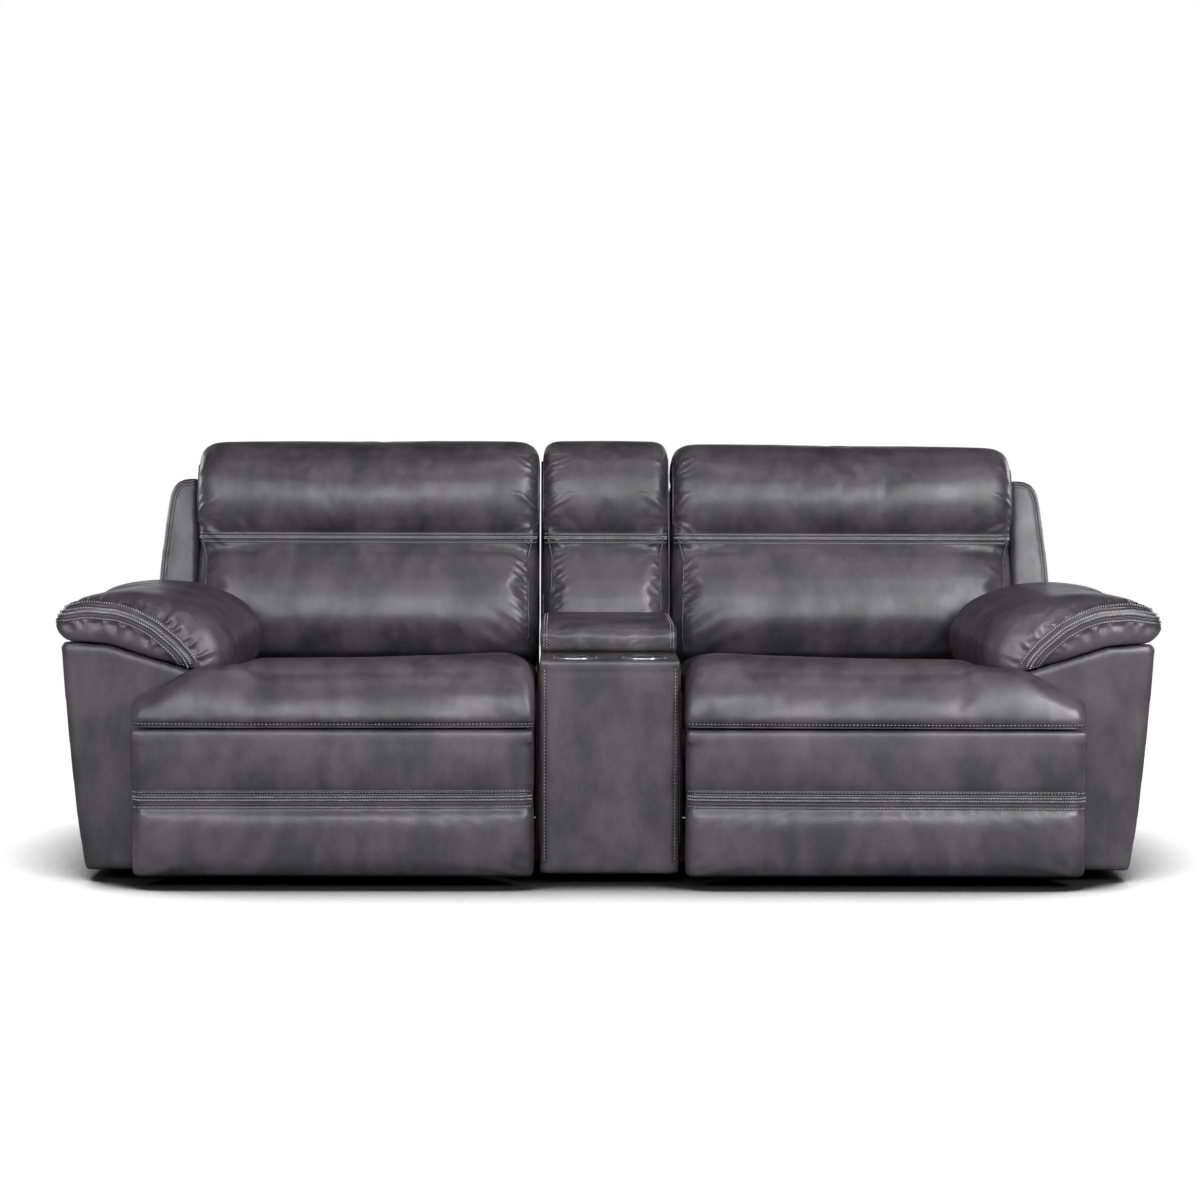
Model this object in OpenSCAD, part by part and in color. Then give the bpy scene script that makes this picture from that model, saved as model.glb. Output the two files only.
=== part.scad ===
// Two-seat reclining loveseat with a fixed storage console between the seats.
// Millimetres, +Z up, +X to the right seen from the front, front towards -Y.
// Right-hand pieces are drawn, left-hand pieces are their mirror images.

/* [Overall] */
// Depth from the footrest front to the back of the back
overall_d = 980; // [940:1:1060]
// Height of the glides that it stands on
glide_h = 30; // [26:1:50]
// Height of the skirt edges above the floor
skirt_z = 24; // [18:1:26]
// Clear space between a soft piece and its neighbour
soft_gap = 0.5; // [0.3:0.1:1]

/* [Console] */
// Width across the console
console_w = 286; // [270:1:340]
// Setback of the console front behind the footrest fronts
console_setback = 60; // [55:1:90]
// Height of the cup deck above the floor
deck_z = 460; // [450:1:480]
// Depth of the cup deck
deck_d = 170; // [150:1:200]
// Thickness of the cup deck
deck_t = 20; // [16:1:26]
// Distance from the lid's rear to the pivots of the backs
lid_clear = 130; // [125:1:160]
// Thickness of the closed lid
lid_h = 58; // [54:1:62]
// Board thickness of the console carcass
console_board = 18; // [15:1:19]
// Thickness of the padded console front
front_pad_t = 18; // [14:1:24]
// Inner radius of a cup holder
cup_r = 42; // [38:0.5:44]
// Depth of a cup holder
cup_depth = 58; // [45:1:70]
// Wall of a cup holder
cup_wall = 1.5; // [1:0.1:2]
// Width of the cup holder's rim
cup_rim_w = 8; // [6:0.5:10]
// Distance between the cup holder centres
cup_spacing = 140; // [130:1:142]
// Distance from the console front to the cup centres
cup_setback = 80; // [78:1:84]
// Depth of the storage bin below the lid
bin_h = 190; // [120:1:240]

/* [Seats] */
// Width of a seat between the console and the arm
seat_w = 612; // [560:1:680]
// Gap between the console and a seat
seat_gap = 9; // [7:1:12]
// Gap between a seat and the arm
arm_gap = 3; // [2:0.5:6]
// Height of the seat crown at its front
seat_z = 453; // [445:1:470]
// Drop of the seat from its front to its rear
seat_fall = 48; // [30:1:60]
// Height of the seat platform above the floor
platform_z = 300; // [298:1:304]
// Height of the seam under the seat's rolled front
nose_z = 327; // [326:1:334]
// Depth of the rolled front
nose_d = 84; // [76:1:86]
// Distance that the seat front and the footrest reach past the seat, over the arm
ear_w = 193; // [160:1:200]

/* [Footrest] */
// Thickness of the footrest pad
foot_pad_t = 50; // [40:1:54]
// Thickness of the footrest board
foot_board_t = 15; // [12:1:18]
// Height of the sewn band's middle on the footrest pad
foot_band_z = 178; // [150:1:200]
// Width of the sewn band on the footrest pad
foot_band_h = 30; // [20:1:36]

/* [Backs] */
// Lean of the backs at rest, in degrees
back_lean = 10; // [6:1:12]
// Height of the back cushions above the top of the shell
back_rise = 87; // [70:1:100]
// Thickness of the back cushions in front of the frame
back_pad_t = 145; // [120:1:150]
// Depth of the back behind the cushions
back_shell_d = 128; // [115:1:130]
// Height of the pivot above the floor
back_pivot_z = 300; // [296:1:304]
// Distance of the pivot from the rear
back_pivot_inset = 230; // [226:1:240]
// Height of the shell above the pivot
shell_h = 512; // [500:1:530]
// Height above the pivot at which the head pillow meets the lumbar cushion
band_h = 363; // [340:1:380]
// Width of the sewn band between them
band_w = 28; // [20:1:34]
// Width of the wing beside the cushions
wing_w = 98; // [80:1:99]
// Distance that the wing reaches in front of the frame
wing_reach = 62; // [40:1:80]

/* [Arms] */
// Width of an arm at its top
arm_w = 347; // [330:1:380]
// Inward taper of the outer arm side from top to bottom
arm_taper = 45; // [30:1:50]
// Setback of the arm front behind the footrest front
arm_setback = 100; // [98:1:120]
// Distance from the rear of the arm's broad part to the pivots of the backs
arm_clear = 150; // [146:1:200]
// Height of the arm front panel
arm_panel_z = 493; // [480:1:500]
// Height of the arm pad's crown
arm_pad_z = 587; // [570:1:620]
// Distance that the arm pad stands out past the arm side
pad_over = 10; // [8:1:20]
// Thickness of the arm's padded panels
panel_t = 18; // [14:1:20]
// Thickness of the arm's outer wall beside the back
wall_t = 76; // [70:1:76]

/* [Footrest linkage] */
// Length of the swinging links, pivot to pivot
link_len = 165; // [160:1:168]
// Angle of the folded links behind the vertical
link_back_angle = 30; // [28:1:32]
// Distance of the front pivot from the footrest front
link_pivot_inset = 180; // [176:1:186]
// Height of the front pivot above the floor
link_pivot_z = 272; // [270:1:274]
// Distance between the front and the rear link pivots
link_pitch = 50; // [46:1:54]
// Rise from the front to the rear link pivot
link_rise = 4; // [2:1:5]
// Width of the link bars
link_w = 24; // [20:1:24]
// Thickness of the link bars and the side plates
link_t = 4; // [3:0.5:5]
// Height of the footrest's own pivot above the floor
foot_pivot_z = 205; // [200:1:210]
// Distance of the footrest's own pivot behind its board
foot_pivot_inset = 20; // [18:1:24]
// Radius of the pivot pins
pin_r = 5; // [4:0.5:6]

/* [Release handles] */
// Length of the recessed bezel
bezel_l = 130; // [110:1:150]
// Height of the recessed bezel
bezel_h = 100; // [90:1:110]
// Depth of the recess
bezel_d = 30; // [24:1:34]
// Height of the bezel's middle above the floor
bezel_z = 300; // [280:1:330]
// Distance of the bezel's middle behind the arm front
bezel_inset = 190; // [150:1:240]

/* [Hidden] */
// Radial clearance of a pin in its hole
pin_fit = 0.05;
// Side clearance between neighbouring link layers
layer_gap = 0.5;
// Running clearance of the seat runner in its rail
runner_fit = 0.4;
// Overrun of every cut past the surface that it opens
over = 1;
// Facets of a hull's own round shapes
hull_fn = 32;
$fn = 48;

front_y = -overall_d / 2;
rear_y = overall_d / 2;
console_half = console_w / 2;
console_front = front_y + console_setback;
seat_in = console_half + seat_gap;
seat_out = seat_in + seat_w;
seat_mid = (seat_in + seat_out) / 2;
arm_in = seat_out + arm_gap;
arm_out = arm_in + arm_w;
arm_front = front_y + arm_setback;
pivot_y = rear_y - back_pivot_inset;
arm_rear = pivot_y - arm_clear;
wall_in = arm_out - wall_t;
ear_out = seat_out + ear_w;
deck_rear = console_front + deck_d;
// Clear space between the wing and the arm's outer wall
wing_gap = 10;
wing_out = wall_in - wing_gap;
cushion_out = wing_out - wing_w;

// Wooden rails that join the arms under the seats
rail_h = 55;
rail_t = 30;
front_rail_inset = 190;
rear_rail_inset = 75;
front_rail_y = front_y + front_rail_inset;
rear_rail_y = rear_y - rear_rail_inset;
rails_top = glide_h + rail_h;

// Layers of the footrest mechanism, from its fixed rail towards the seat's middle
side_plate_inset = 53;
plate_x = seat_in + side_plate_inset;
layer = link_t + layer_gap;
rear_link_x = plate_x + layer;
carrier_x = rear_link_x + layer;
control_link_x = carrier_x + layer;
link_a = [front_y + link_pivot_inset, link_pivot_z];
link_b = link_a + link_len * [sin(link_back_angle), -cos(link_back_angle)];
link_shift = [link_pitch, link_rise];
foot_back = front_y + foot_pad_t + foot_board_t;
foot_pivot = [foot_back + foot_pivot_inset, foot_pivot_z];
foot_clear = 4.5;
foot_top = nose_z - foot_clear;

// Leathers, foam covers and metals, as they look from outside
leather = [0.31, 0.31, 0.325];
plywood = [0.78, 0.66, 0.47];
steel = [0.30, 0.31, 0.33];
bright = [0.80, 0.81, 0.83];
plastic = [0.10, 0.10, 0.11];

// Shared shapes

module left() mirror([1, 0, 0]) children();

module block(low, high) translate(low) cube(high - low);

// A rod along X
module rod(x0, x1, at, r) translate([x0, at[0], at[1]]) rotate([0, 90, 0]) cylinder(h = x1 - x0, r = r);

// An outline in the YZ plane, carried along X
module plate_yz(points, x0, x1)
  translate([x0, 0, 0]) rotate([90, 0, 90]) linear_extrude(x1 - x0) polygon(points);

// An outline in the XZ plane, carried along Y
module plate_xz(points, y0, y1)
  translate([0, y1, 0]) rotate([90, 0, 0]) linear_extrude(y1 - y0) polygon(points);

// The same mechanism piece at the inner and at the outer side of a seat
module both_sides() {
  children();
  translate([2 * seat_mid, 0, 0]) mirror([1, 0, 0]) children();
}

// A flat bar with round ends between two pivots
module bar(p, q, x0, w, holes, round_ends = [0, 1]) {
  reach = norm(q - p);
  translate([x0, p[0], p[1]]) rotate([atan2(q[1] - p[1], q[0] - p[0]), 0, 0]) difference() {
    union() {
      translate([0, 0, -w / 2]) cube([link_t, reach, w]);
      for (y = round_ends * reach) translate([0, y, 0]) rotate([0, 90, 0]) cylinder(h = link_t, r = w / 2);
    }
    for (y = holes * reach) translate([-over, y, 0]) rotate([0, 90, 0])
      cylinder(h = link_t + 2 * over, r = pin_r + pin_fit);
  }
}

// The frame of a back: origin at the pivot, Z up along the back
module lean() translate([0, pivot_y, back_pivot_z]) rotate([-back_lean, 0, 0]) children();

function mean(points) = [for (k = [0:2]) let (column = [for (p = points) p[k]])
  column * [for (p = points) 1] / len(points)];

// A closed form through rings that all hold the same number of points
module loft(rings) {
  n = len(rings);
  m = len(rings[0]);
  points = concat([for (r = rings) each r], [mean(rings[0]), mean(rings[n - 1])]);
  sides = [for (i = [0:n - 2], j = [0:m - 1]) let (a = i * m + j, b = i * m + (j + 1) % m)
    each [[a, b, b + m], [a, b + m, a + m]]];
  caps = [for (j = [0:m - 1]) each [
    [(j + 1) % m, j, n * m], [(n - 1) * m + j, (n - 1) * m + (j + 1) % m, n * m + 1]]];
  polyhedron(points, concat(sides, caps));
}

// Distances along a form: close together over its round ends, wide apart between them
function stations(size, roll, ends, mids) = concat(
  [for (k = [0:ends]) roll * (1 - cos(90 * k / ends))],
  [for (k = [1:mids]) roll + (size - 2 * roll) * k / (mids + 1)],
  [for (k = [ends:-1:0]) size - roll * (1 - cos(90 * k / ends))]);

// Fullness at a distance from the nearer end: 0 at the end, 1 past the roll
function fullness(at, size, roll) = let (t = min(1, min(at, size - at) / roll))
  sqrt(max(0, 1 - (1 - t) * (1 - t)));

// Rings of a stuffed form along X. shares holds [stand-off, height] pairs of its section.
// edge_share is the stand-off left at its ends, draw_share how far its height draws in there.
function stuffed(shares, x0, x1, depth, height, roll, edge_share, draw_share, crown_share, ends, mids) =
  [for (at = stations(x1 - x0, roll, ends, mids))
    let (full = fullness(at, x1 - x0, roll),
         side = 2 * at / (x1 - x0) - 1,
         off = depth * (edge_share + (1 - edge_share) * full) * (1 - crown_share * side * side),
         tall = height * (1 - draw_share * (1 - full)))
    [for (s = shares) [x0 + at, -s[0] * off, height / 2 + (s[1] - 0.5) * tall]]];

// Base and glides

module base_rails() color(plywood) {
  block([-arm_in, front_rail_y, glide_h], [arm_in, front_rail_y + rail_t, rails_top]);
  block([-wall_in, rear_rail_y, glide_h], [wall_in, rear_rail_y + rail_t, rails_top]);
}

// Upholstered board that closes the rear under the backs
rear_panel_z = 320;
module rear_panel() color(leather)
  block([-wall_in, rear_rail_y + rail_t, skirt_z], [wall_in, rear_rail_y + rail_t + panel_t, rear_panel_z]);

glide_r = 22;
// Round over the foot of a glide
glide_chamfer = 3;
glide_edge = 60;
module glide(x, y) translate([x, y, 0]) {
  cylinder(h = glide_chamfer, r1 = glide_r - glide_chamfer, r2 = glide_r);
  translate([0, 0, glide_chamfer]) cylinder(h = glide_h - glide_chamfer, r = glide_r);
}
module glides() color(plastic) {
  front = front_rail_y + rail_t / 2;
  glide(0, front);
  for (side = [-1, 1]) {
    glide(side * seat_mid, front);
    glide(side * seat_mid, rear_rail_y + rail_t - glide_r - soft_gap);
    glide(side * (arm_in + glide_edge), front);
    glide(side * (arm_in + glide_edge), arm_rear - glide_edge);
  }
}

// Fixed rails of the mechanism: steel channels on legs, open towards the seat's side plates
channel_t = 2.5;
channel_w = 20;
channel_h = 40;
channel_z = 138;
channel_inset = 25;
channel_x = plate_x - channel_inset;
leg_foot = 20;
foot_t = 3;
cable_r = 3;
cable_drop = 25;
cable_y = arm_front + bezel_inset;
cable_z = bezel_z - cable_drop;
cable_tab = 24;
module mechanism_rail() {
  top = channel_z + channel_h;
  plate_xz([
    [channel_x, channel_z], [channel_x + channel_w, channel_z],
    [channel_x + channel_w, channel_z + channel_t], [channel_x + channel_t, channel_z + channel_t],
    [channel_x + channel_t, top - channel_t], [channel_x + channel_w, top - channel_t],
    [channel_x + channel_w, top], [channel_x, top]
  ], front_rail_y, rear_rail_y + rail_t);
  for (y = [front_rail_y, rear_rail_y]) {
    block([channel_x, y, rails_top], [channel_x + channel_t, y + rail_t, channel_z + channel_t]);
    block([channel_x - leg_foot, y, rails_top], [channel_x + channel_t, y + rail_t, rails_top + foot_t]);
  }
}
// Plate on the outer rail that the release cable's end is clamped to
module cable_plate() translate([2 * seat_mid, 0, 0]) mirror([1, 0, 0])
  block([channel_x, cable_y - cable_tab / 2, channel_z + channel_h],
        [channel_x + channel_t, cable_y + cable_tab / 2, cable_z + cable_tab / 2]);
module mechanism_rails() color(steel) {
  both_sides() mechanism_rail();
  cable_plate();
  left() { both_sides() mechanism_rail(); cable_plate(); }
}

// Arms: boards inside, padded panels around them, and a stuffed pad on top

// Outer edge of the arm front, from the skirt up, as shares of the taper and of the panel height
arm_edge_shares = [[0, 0], [0.34, 0.22], [0.64, 0.52], [0.87, 0.80], [1, 0.985]];
arm_top_inset = 83;
arm_top_mid = 30;
arm_shoulder = 5;
// Shares of the arm's width at which its top edge bends
arm_top_shares = [0.73, 0.5];
function arm_edge(inset) = [for (s = arm_edge_shares)
  [arm_out - arm_taper * (1 - s[0]) - inset, skirt_z + (arm_panel_z - skirt_z) * s[1]]];
function arm_outline() = concat([[arm_in, skirt_z]], arm_edge(0), [
  [arm_out - 2 * arm_shoulder, arm_panel_z],
  [arm_in + arm_w * arm_top_shares[0], arm_panel_z - arm_shoulder],
  [arm_in + arm_w * arm_top_shares[1], arm_panel_z - arm_top_mid],
  [arm_in, arm_panel_z - arm_top_inset]]);
function about(points, inset, middle) = [for (p = points)
  [p[0] + (p[0] < middle[0] ? inset : -inset), p[1] + (p[1] < middle[1] ? inset : -inset)]];
arm_round = 9;

module arm_front_panel() {
  middle = [arm_in + arm_w / 2, arm_panel_z / 2];
  hull() {
    plate_xz(about(arm_outline(), arm_round, middle), arm_front, arm_front + panel_t);
    plate_xz(about(arm_outline(), arm_round / 3, middle), arm_front + arm_round / 3, arm_front + panel_t);
    plate_xz(arm_outline(), arm_front + arm_round, arm_front + panel_t);
  }
}
wall_top = 489;
wall_end_t = 12;
wall_rear = rear_y - wall_end_t;
module arm_outer_panel() difference() {
  plate_xz(concat(arm_edge(0), [[arm_out, wall_top], [arm_out - panel_t, wall_top]],
    [for (k = [len(arm_edge_shares) - 1:-1:0]) arm_edge(panel_t)[k]]), arm_front + panel_t, wall_rear);
  bezel_place() block([-bezel_l / 2 + bezel_lip - soft_gap, -panel_t * 2, -bezel_h / 2 + bezel_lip
    - soft_gap],
    [bezel_l / 2 - bezel_lip + soft_gap, panel_t, bezel_h / 2 - bezel_lip + soft_gap]);
}
module arm_cover() color(leather) {
  y0 = arm_front + panel_t;
  arm_front_panel();
  arm_outer_panel();
  // Inner side, with the hole that the release cable runs through
  difference() {
    block([arm_in, y0, skirt_z], [arm_in + panel_t, arm_rear, arm_panel_z - arm_top_inset]);
    rod(arm_in - over, arm_in + panel_t + over, [cable_y, cable_z], cable_r + soft_gap);
  }
  // Rear of the broad part, up to the pad's underside
  ends = [arm_in + panel_t, wall_in];
  plate_xz(concat([[ends[1], skirt_z], [ends[0], skirt_z]],
    [for (k = [0:12]) let (x = ends[0] + (ends[1] - ends[0]) * k / 12) [x, pad_under(x)]]),
    arm_rear - panel_t, arm_rear);
  // Inner side and rear edge of the outer wall
  block([wall_in, arm_rear - panel_t, rails_top], [wall_in + panel_t / 2, wall_rear, wall_top]);
  // Rear end of the outer wall
  plate_xz(concat([[wall_in, skirt_z]], arm_edge(0), [[arm_out, wall_top], [wall_in, wall_top]]),
    wall_rear, rear_y);
  // Rounded top of the outer wall behind the pad
  hull() for (y = [pad_rear_y + soft_gap + wall_t / 4, wall_rear - wall_t / 4],
    x = [wall_in + wall_t / 4, arm_out - wall_t / 4])
    translate([x, y, wall_top]) intersection() {
      sphere(r = wall_t / 4, $fn = hull_fn / 2);
      block([-wall_t, -wall_t, 0], [wall_t, wall_t, wall_t]);
    }
}

frame_t = 18;
module arm_frame() {
  x0 = arm_in + panel_t;
  y0 = arm_front + panel_t;
  top = arm_panel_z - arm_top_inset - frame_t;
  // Front and rear boards
  for (y = [y0, arm_rear - panel_t - frame_t])
    block([x0, y, glide_h], [wall_in, y + frame_t, top]);
  // Floor and top boards
  for (z = [glide_h, top - frame_t])
    block([x0, y0 + frame_t, z], [wall_in, arm_rear - panel_t - frame_t, z + frame_t]);
  // Inner lining of the outer wall
  difference() {
    block([wall_in, y0, rails_top], [wall_in + panel_t / 2, arm_rear - panel_t, top]);
    rod(wall_in - over, wall_in + panel_t, [cable_y, cable_z], cable_r + soft_gap);
  }
}
module arm_frames() color(plywood) {
  arm_frame();
  left() arm_frame();
}

// Section of the arm pad, front end and middle, as shares of its width and height,
// from the inner bottom along the panel's top, up the outer side and back over the crown
pad_full_shares = [[0.03, 0.017], [0.25, 0.154], [0.48, 0.297], [0.70, 0.439], [0.93, 0.466], [0.985, 0.58],
  [1, 0.74], [0.96, 0.87], [0.85, 0.955], [0.63, 1], [0.40, 0.965], [0.2, 0.86], [0.07, 0.68], [0, 0.43],
  [0, 0.19]];
pad_front_shares = [[0.24, 0.149], [0.35, 0.218], [0.48, 0.297], [0.70, 0.439], [0.93, 0.466],
  [0.985, 0.556], [1, 0.71], [0.95, 0.8], [0.84, 0.84], [0.65, 0.815], [0.52, 0.735], [0.43, 0.62],
  [0.345, 0.475], [0.27, 0.29], [0.235, 0.21]];
// At its rear end the pad is narrower about its middle, and its top lower
pad_rear_width_share = 0.86;
pad_rear_drop_share = 0.05;
pad_under_share = 0.466;
pad_rear_shares = [for (s = pad_full_shares) [(1 - pad_rear_width_share) / 2 + pad_rear_width_share * s[0],
  s[1] - pad_rear_drop_share * max(0, s[1] - pad_under_share) / (1 - pad_under_share)]];
pad_seat_over = 2;
pad_in = arm_in - pad_seat_over;
pad_w = arm_out + pad_over - pad_in;
pad_h = arm_pad_z - (arm_panel_z - arm_top_inset);
pad_front_over = 15;
pad_rear_over = 6;
pad_front_y = arm_front - pad_front_over;
pad_rear_y = arm_rear + pad_rear_over;
pad_front_roll = 85;
pad_rear_roll = 34;
// Height of the arm's boards and panels below the pad
function pad_under(x) = arm_panel_z - arm_top_inset + pad_h * min([for (shares = [pad_full_shares,
  pad_rear_shares]) lookup((x - pad_in) / pad_w, [for (k = [0:4]) shares[k]])]);
function pad_ring(y) =
  let (front = fullness(min(y - pad_front_y, pad_front_roll), 4 * pad_front_roll, pad_front_roll),
       rear = fullness(min(pad_rear_y - y, pad_rear_roll), 4 * pad_rear_roll, pad_rear_roll))
  [for (i = [0:len(pad_full_shares) - 1])
    let (s = pad_front_shares[i] + (pad_full_shares[i] - pad_front_shares[i]) * front,
         e = pad_rear_shares[i] + (s - pad_rear_shares[i]) * rear)
    [pad_in + e[0] * pad_w, y, arm_panel_z - arm_top_inset + 2 * soft_gap + e[1] * pad_h]];
module arm_pad() color(leather) {
  ys = concat([for (k = [0:4]) pad_front_y + pad_front_roll * (1 - cos(90 * k / 4))],
    [for (k = [1:4]) pad_front_y + pad_front_roll
      + (pad_rear_y - pad_rear_roll - pad_front_y - pad_front_roll) * k / 5],
    [for (k = [3:-1:0]) pad_rear_y - pad_rear_roll * (1 - cos(90 * k / 3))]);
  loft([for (y = ys) pad_ring(y)]);
}

// Recessed release handles in the outer arm panels

bezel_lip = 18;
bezel_t = 4;
tub_wall = 2.5;
// Outer side of the arm at the bezel's height, and its slope there
bezel_x = arm_out - arm_taper * (1 - lookup((bezel_z - skirt_z) / (arm_panel_z - skirt_z),
  [for (s = arm_edge_shares) [s[1], s[0]]]));
bezel_slope = atan2(arm_taper * (arm_edge_shares[3][0] - arm_edge_shares[2][0]),
  (arm_panel_z - skirt_z) * (arm_edge_shares[3][1] - arm_edge_shares[2][1]));
// Local frame of a bezel: X along the arm, Y into the room, Z up the sloping side
module bezel_place() translate([bezel_x, cable_y, bezel_z]) rotate([0, bezel_slope, 0]) rotate([0, 0, -90])
  children();
module release_bezel() bezel_place() difference() {
  union() {
    block([-bezel_l / 2, soft_gap, -bezel_h / 2], [bezel_l / 2, bezel_t, bezel_h / 2]);
    block([-bezel_l / 2 + bezel_lip, -bezel_d, -bezel_h / 2 + bezel_lip],
      [bezel_l / 2 - bezel_lip, bezel_t, bezel_h / 2 - bezel_lip]);
  }
  block([-bezel_l / 2 + bezel_lip + tub_wall, -bezel_d + tub_wall, -bezel_h / 2 + bezel_lip + tub_wall],
    [bezel_l / 2 - bezel_lip - tub_wall, bezel_t + over, bezel_h / 2 - bezel_lip - tub_wall]);
  handle_axis() cylinder(h = bezel_l, r = handle_pin_r + pin_fit, center = true);
}
module release_bezels() color(plastic) {
  release_bezel();
  left() release_bezel();
}

// Paddle of a release handle, hung in its recess from two short pins
handle_pin_r = 2.5;
handle_t = 6;
handle_out = 6;
handle_side = 1.5;
finger_gap = 17;
handle_top = bezel_h / 2 - bezel_lip - tub_wall - handle_side;
module handle_axis() translate([0, -handle_out - handle_t / 2, handle_top - handle_t]) rotate([0, 90, 0])
  children();
module release_handle() color(plastic) bezel_place() {
  half = bezel_l / 2 - bezel_lip - tub_wall - handle_side;
  block([-half, -handle_out - handle_t, finger_gap - bezel_h / 2 + bezel_lip + tub_wall],
    [half, -handle_out, handle_top]);
  handle_axis() cylinder(h = 2 * half + 2 * handle_side + 2 * tub_wall, r = handle_pin_r, center = true);
}
// Sheathed cable from the recess to the plate on the mechanism's rail
module release_cable() rod(2 * seat_mid - channel_x,
  bezel_x - (bezel_d + cable_drop * sin(bezel_slope)) / cos(bezel_slope) - soft_gap, [cable_y, cable_z],
    cable_r);
module release_cables() color(plastic) {
  release_cable();
  left() release_cable();
}

// Console

box_front = console_front + front_pad_t;
box_top = deck_z - deck_t;
box_in = console_half - console_board;
bin_margin = 25;
bin_half = box_in - bin_margin;
bin_front = deck_rear + bin_margin;
hinge_r = lid_h / 2;
lid_rear = pivot_y - lid_clear;
lid_d = lid_rear - deck_rear;
hinge_at = [lid_rear - hinge_r, deck_z + soft_gap + hinge_r];
ear_r = 10;
bin_rear = hinge_at[0] - ear_r - bin_margin / 2;
box_rear = hinge_at[0] + ear_r + console_board / 2;
liner_t = 3;
shelf_z = deck_z - bin_h - liner_t;
plinth_inset = 160;
plinth_rear = rear_y - plinth_inset;
plinth_z = 270;
module console_box() color(plywood) {
  inner = box_front + console_board;
  for (x = [-console_half, box_in])
    plate_yz([[box_front, rails_top], [plinth_rear, rails_top], [plinth_rear, plinth_z],
      [box_rear, plinth_z], [box_rear, box_top], [box_front, box_top]], x, x + console_board);
  // Floor, shelf under the bin, and the shelf that the back stands on
  block([-box_in, inner, rails_top], [box_in, box_rear - console_board, rails_top + console_board]);
  block([-box_in, deck_rear, shelf_z - console_board], [box_in, box_rear - console_board, shelf_z]);
  block([-box_in, box_rear, plinth_z - console_board], [box_in, plinth_rear, plinth_z]);
  // Front, middle and rear boards
  block([-box_in, box_front, rails_top], [box_in, inner, box_top]);
  block([-box_in, deck_rear - console_board, rails_top + console_board], [box_in, deck_rear, box_top]);
  block([-box_in, box_rear - console_board, rails_top], [box_in, box_rear, box_top]);
}

// Padded front panel: flat back, softly rounded face
front_shares = [[0, 0], [0.6, 0], [0.88, 0.006], [1, 0.025], [1, 0.3], [1, 0.7], [1, 0.985], [0.8, 1],
  [0, 1]];
front_roll = 14;
front_edge_share = 0.35;
front_draw_share = 0.006;
module console_front_pad() color(leather) translate([0, box_front - soft_gap, skirt_z])
  loft(stuffed(front_shares, -console_half, console_half, front_pad_t - soft_gap,
    box_top - skirt_z - soft_gap, front_roll, front_edge_share, front_draw_share, 0, 3, 1));

cup_y = console_front + cup_setback;
cup_x = cup_spacing / 2;
module console_deck() color(leather) difference() {
  block([-console_half, console_front, box_top], [console_half, hinge_at[0] - ear_r - soft_gap, deck_z]);
  for (x = [-cup_x, cup_x]) translate([x, cup_y, box_top - over])
    cylinder(h = deck_t + 2 * over, r = cup_r + cup_wall + soft_gap);
  block([-bin_half, bin_front, box_top - over], [bin_half, bin_rear, deck_z + over]);
}

cup_rim_t = 2;
module cup_holders() color(bright) for (x = [-cup_x, cup_x]) translate([x, cup_y, deck_z]) difference() {
  union() {
    cylinder(h = cup_rim_t, r = cup_r + cup_rim_w);
    translate([0, 0, cup_rim_t - cup_depth - cup_wall]) cylinder(h = cup_depth, r = cup_r + cup_wall);
  }
  translate([0, 0, cup_rim_t - cup_depth]) cylinder(h = cup_depth + over, r = cup_r);
}

// Moulded tray that lines the bin
module storage_liner() color(plastic) difference() {
  block([-bin_half + soft_gap, bin_front + soft_gap, shelf_z],
    [bin_half - soft_gap, bin_rear - soft_gap, deck_z]);
  block([-bin_half + soft_gap + liner_t, bin_front + soft_gap + liner_t, shelf_z + liner_t],
    [bin_half - soft_gap - liner_t, bin_rear - soft_gap - liner_t, deck_z + over]);
}

// Hinge of the lid: two ears that stand on the box, each with a pin through the lid's knuckle
hinge_x = 56;
hinge_t = 5;
hinge_pin_r = 4;
knuckle_w = 12;
module lid_hinge() color(steel) for (side = [-1, 1]) {
  x = side > 0 ? hinge_x : -hinge_x - hinge_t;
  block([x, hinge_at[0] - ear_r, box_top], [x + hinge_t, hinge_at[0] + ear_r, hinge_at[1]]);
  rod(x, x + hinge_t, hinge_at, ear_r);
  rod(side > 0 ? x - hinge_t - layer_gap : x, side > 0 ? x + hinge_t : x + 2 * hinge_t + layer_gap,
    hinge_at, hinge_pin_r);
}
lid_board_t = 12;
lid_board_inset = 17;
lid_board_rear = hinge_at[0] - lid_board_inset;
module lid_board() color(plywood) {
  z = deck_z + soft_gap;
  block([-console_half + lid_board_t, deck_rear + lid_board_t, z],
    [console_half - lid_board_t, lid_board_rear, z + lid_board_t]);
  for (side = [-1, 1]) difference() {
    x = side > 0 ? hinge_x - layer_gap - hinge_t : -hinge_x + layer_gap;
    reach = hinge_at - [lid_board_rear - knuckle_w, z + lid_board_t / 2];
    translate([x, lid_board_rear - knuckle_w, z + lid_board_t / 2]) rotate([atan2(reach[1], reach[0]), 0, 0])
      union() {
        translate([0, 0, -knuckle_w / 2]) cube([hinge_t, norm(reach), knuckle_w]);
        translate([0, norm(reach), 0]) rotate([0, 90, 0]) cylinder(h = hinge_t, r = knuckle_w / 2);
      }
    rod(x - over, x + hinge_t + over, hinge_at, hinge_pin_r + pin_fit);
  }
}
// Section of the lid pad: over the board, round its front, and round the hinge behind
lid_top_shares = [[0.008, 0], [0, 0.12], [0, 0.5], [0.014, 0.8], [0.055, 0.965], [0.16, 1.02], [0.5, 1.05],
  [0.8, 1.02]];
lid_roll = 12;
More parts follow.
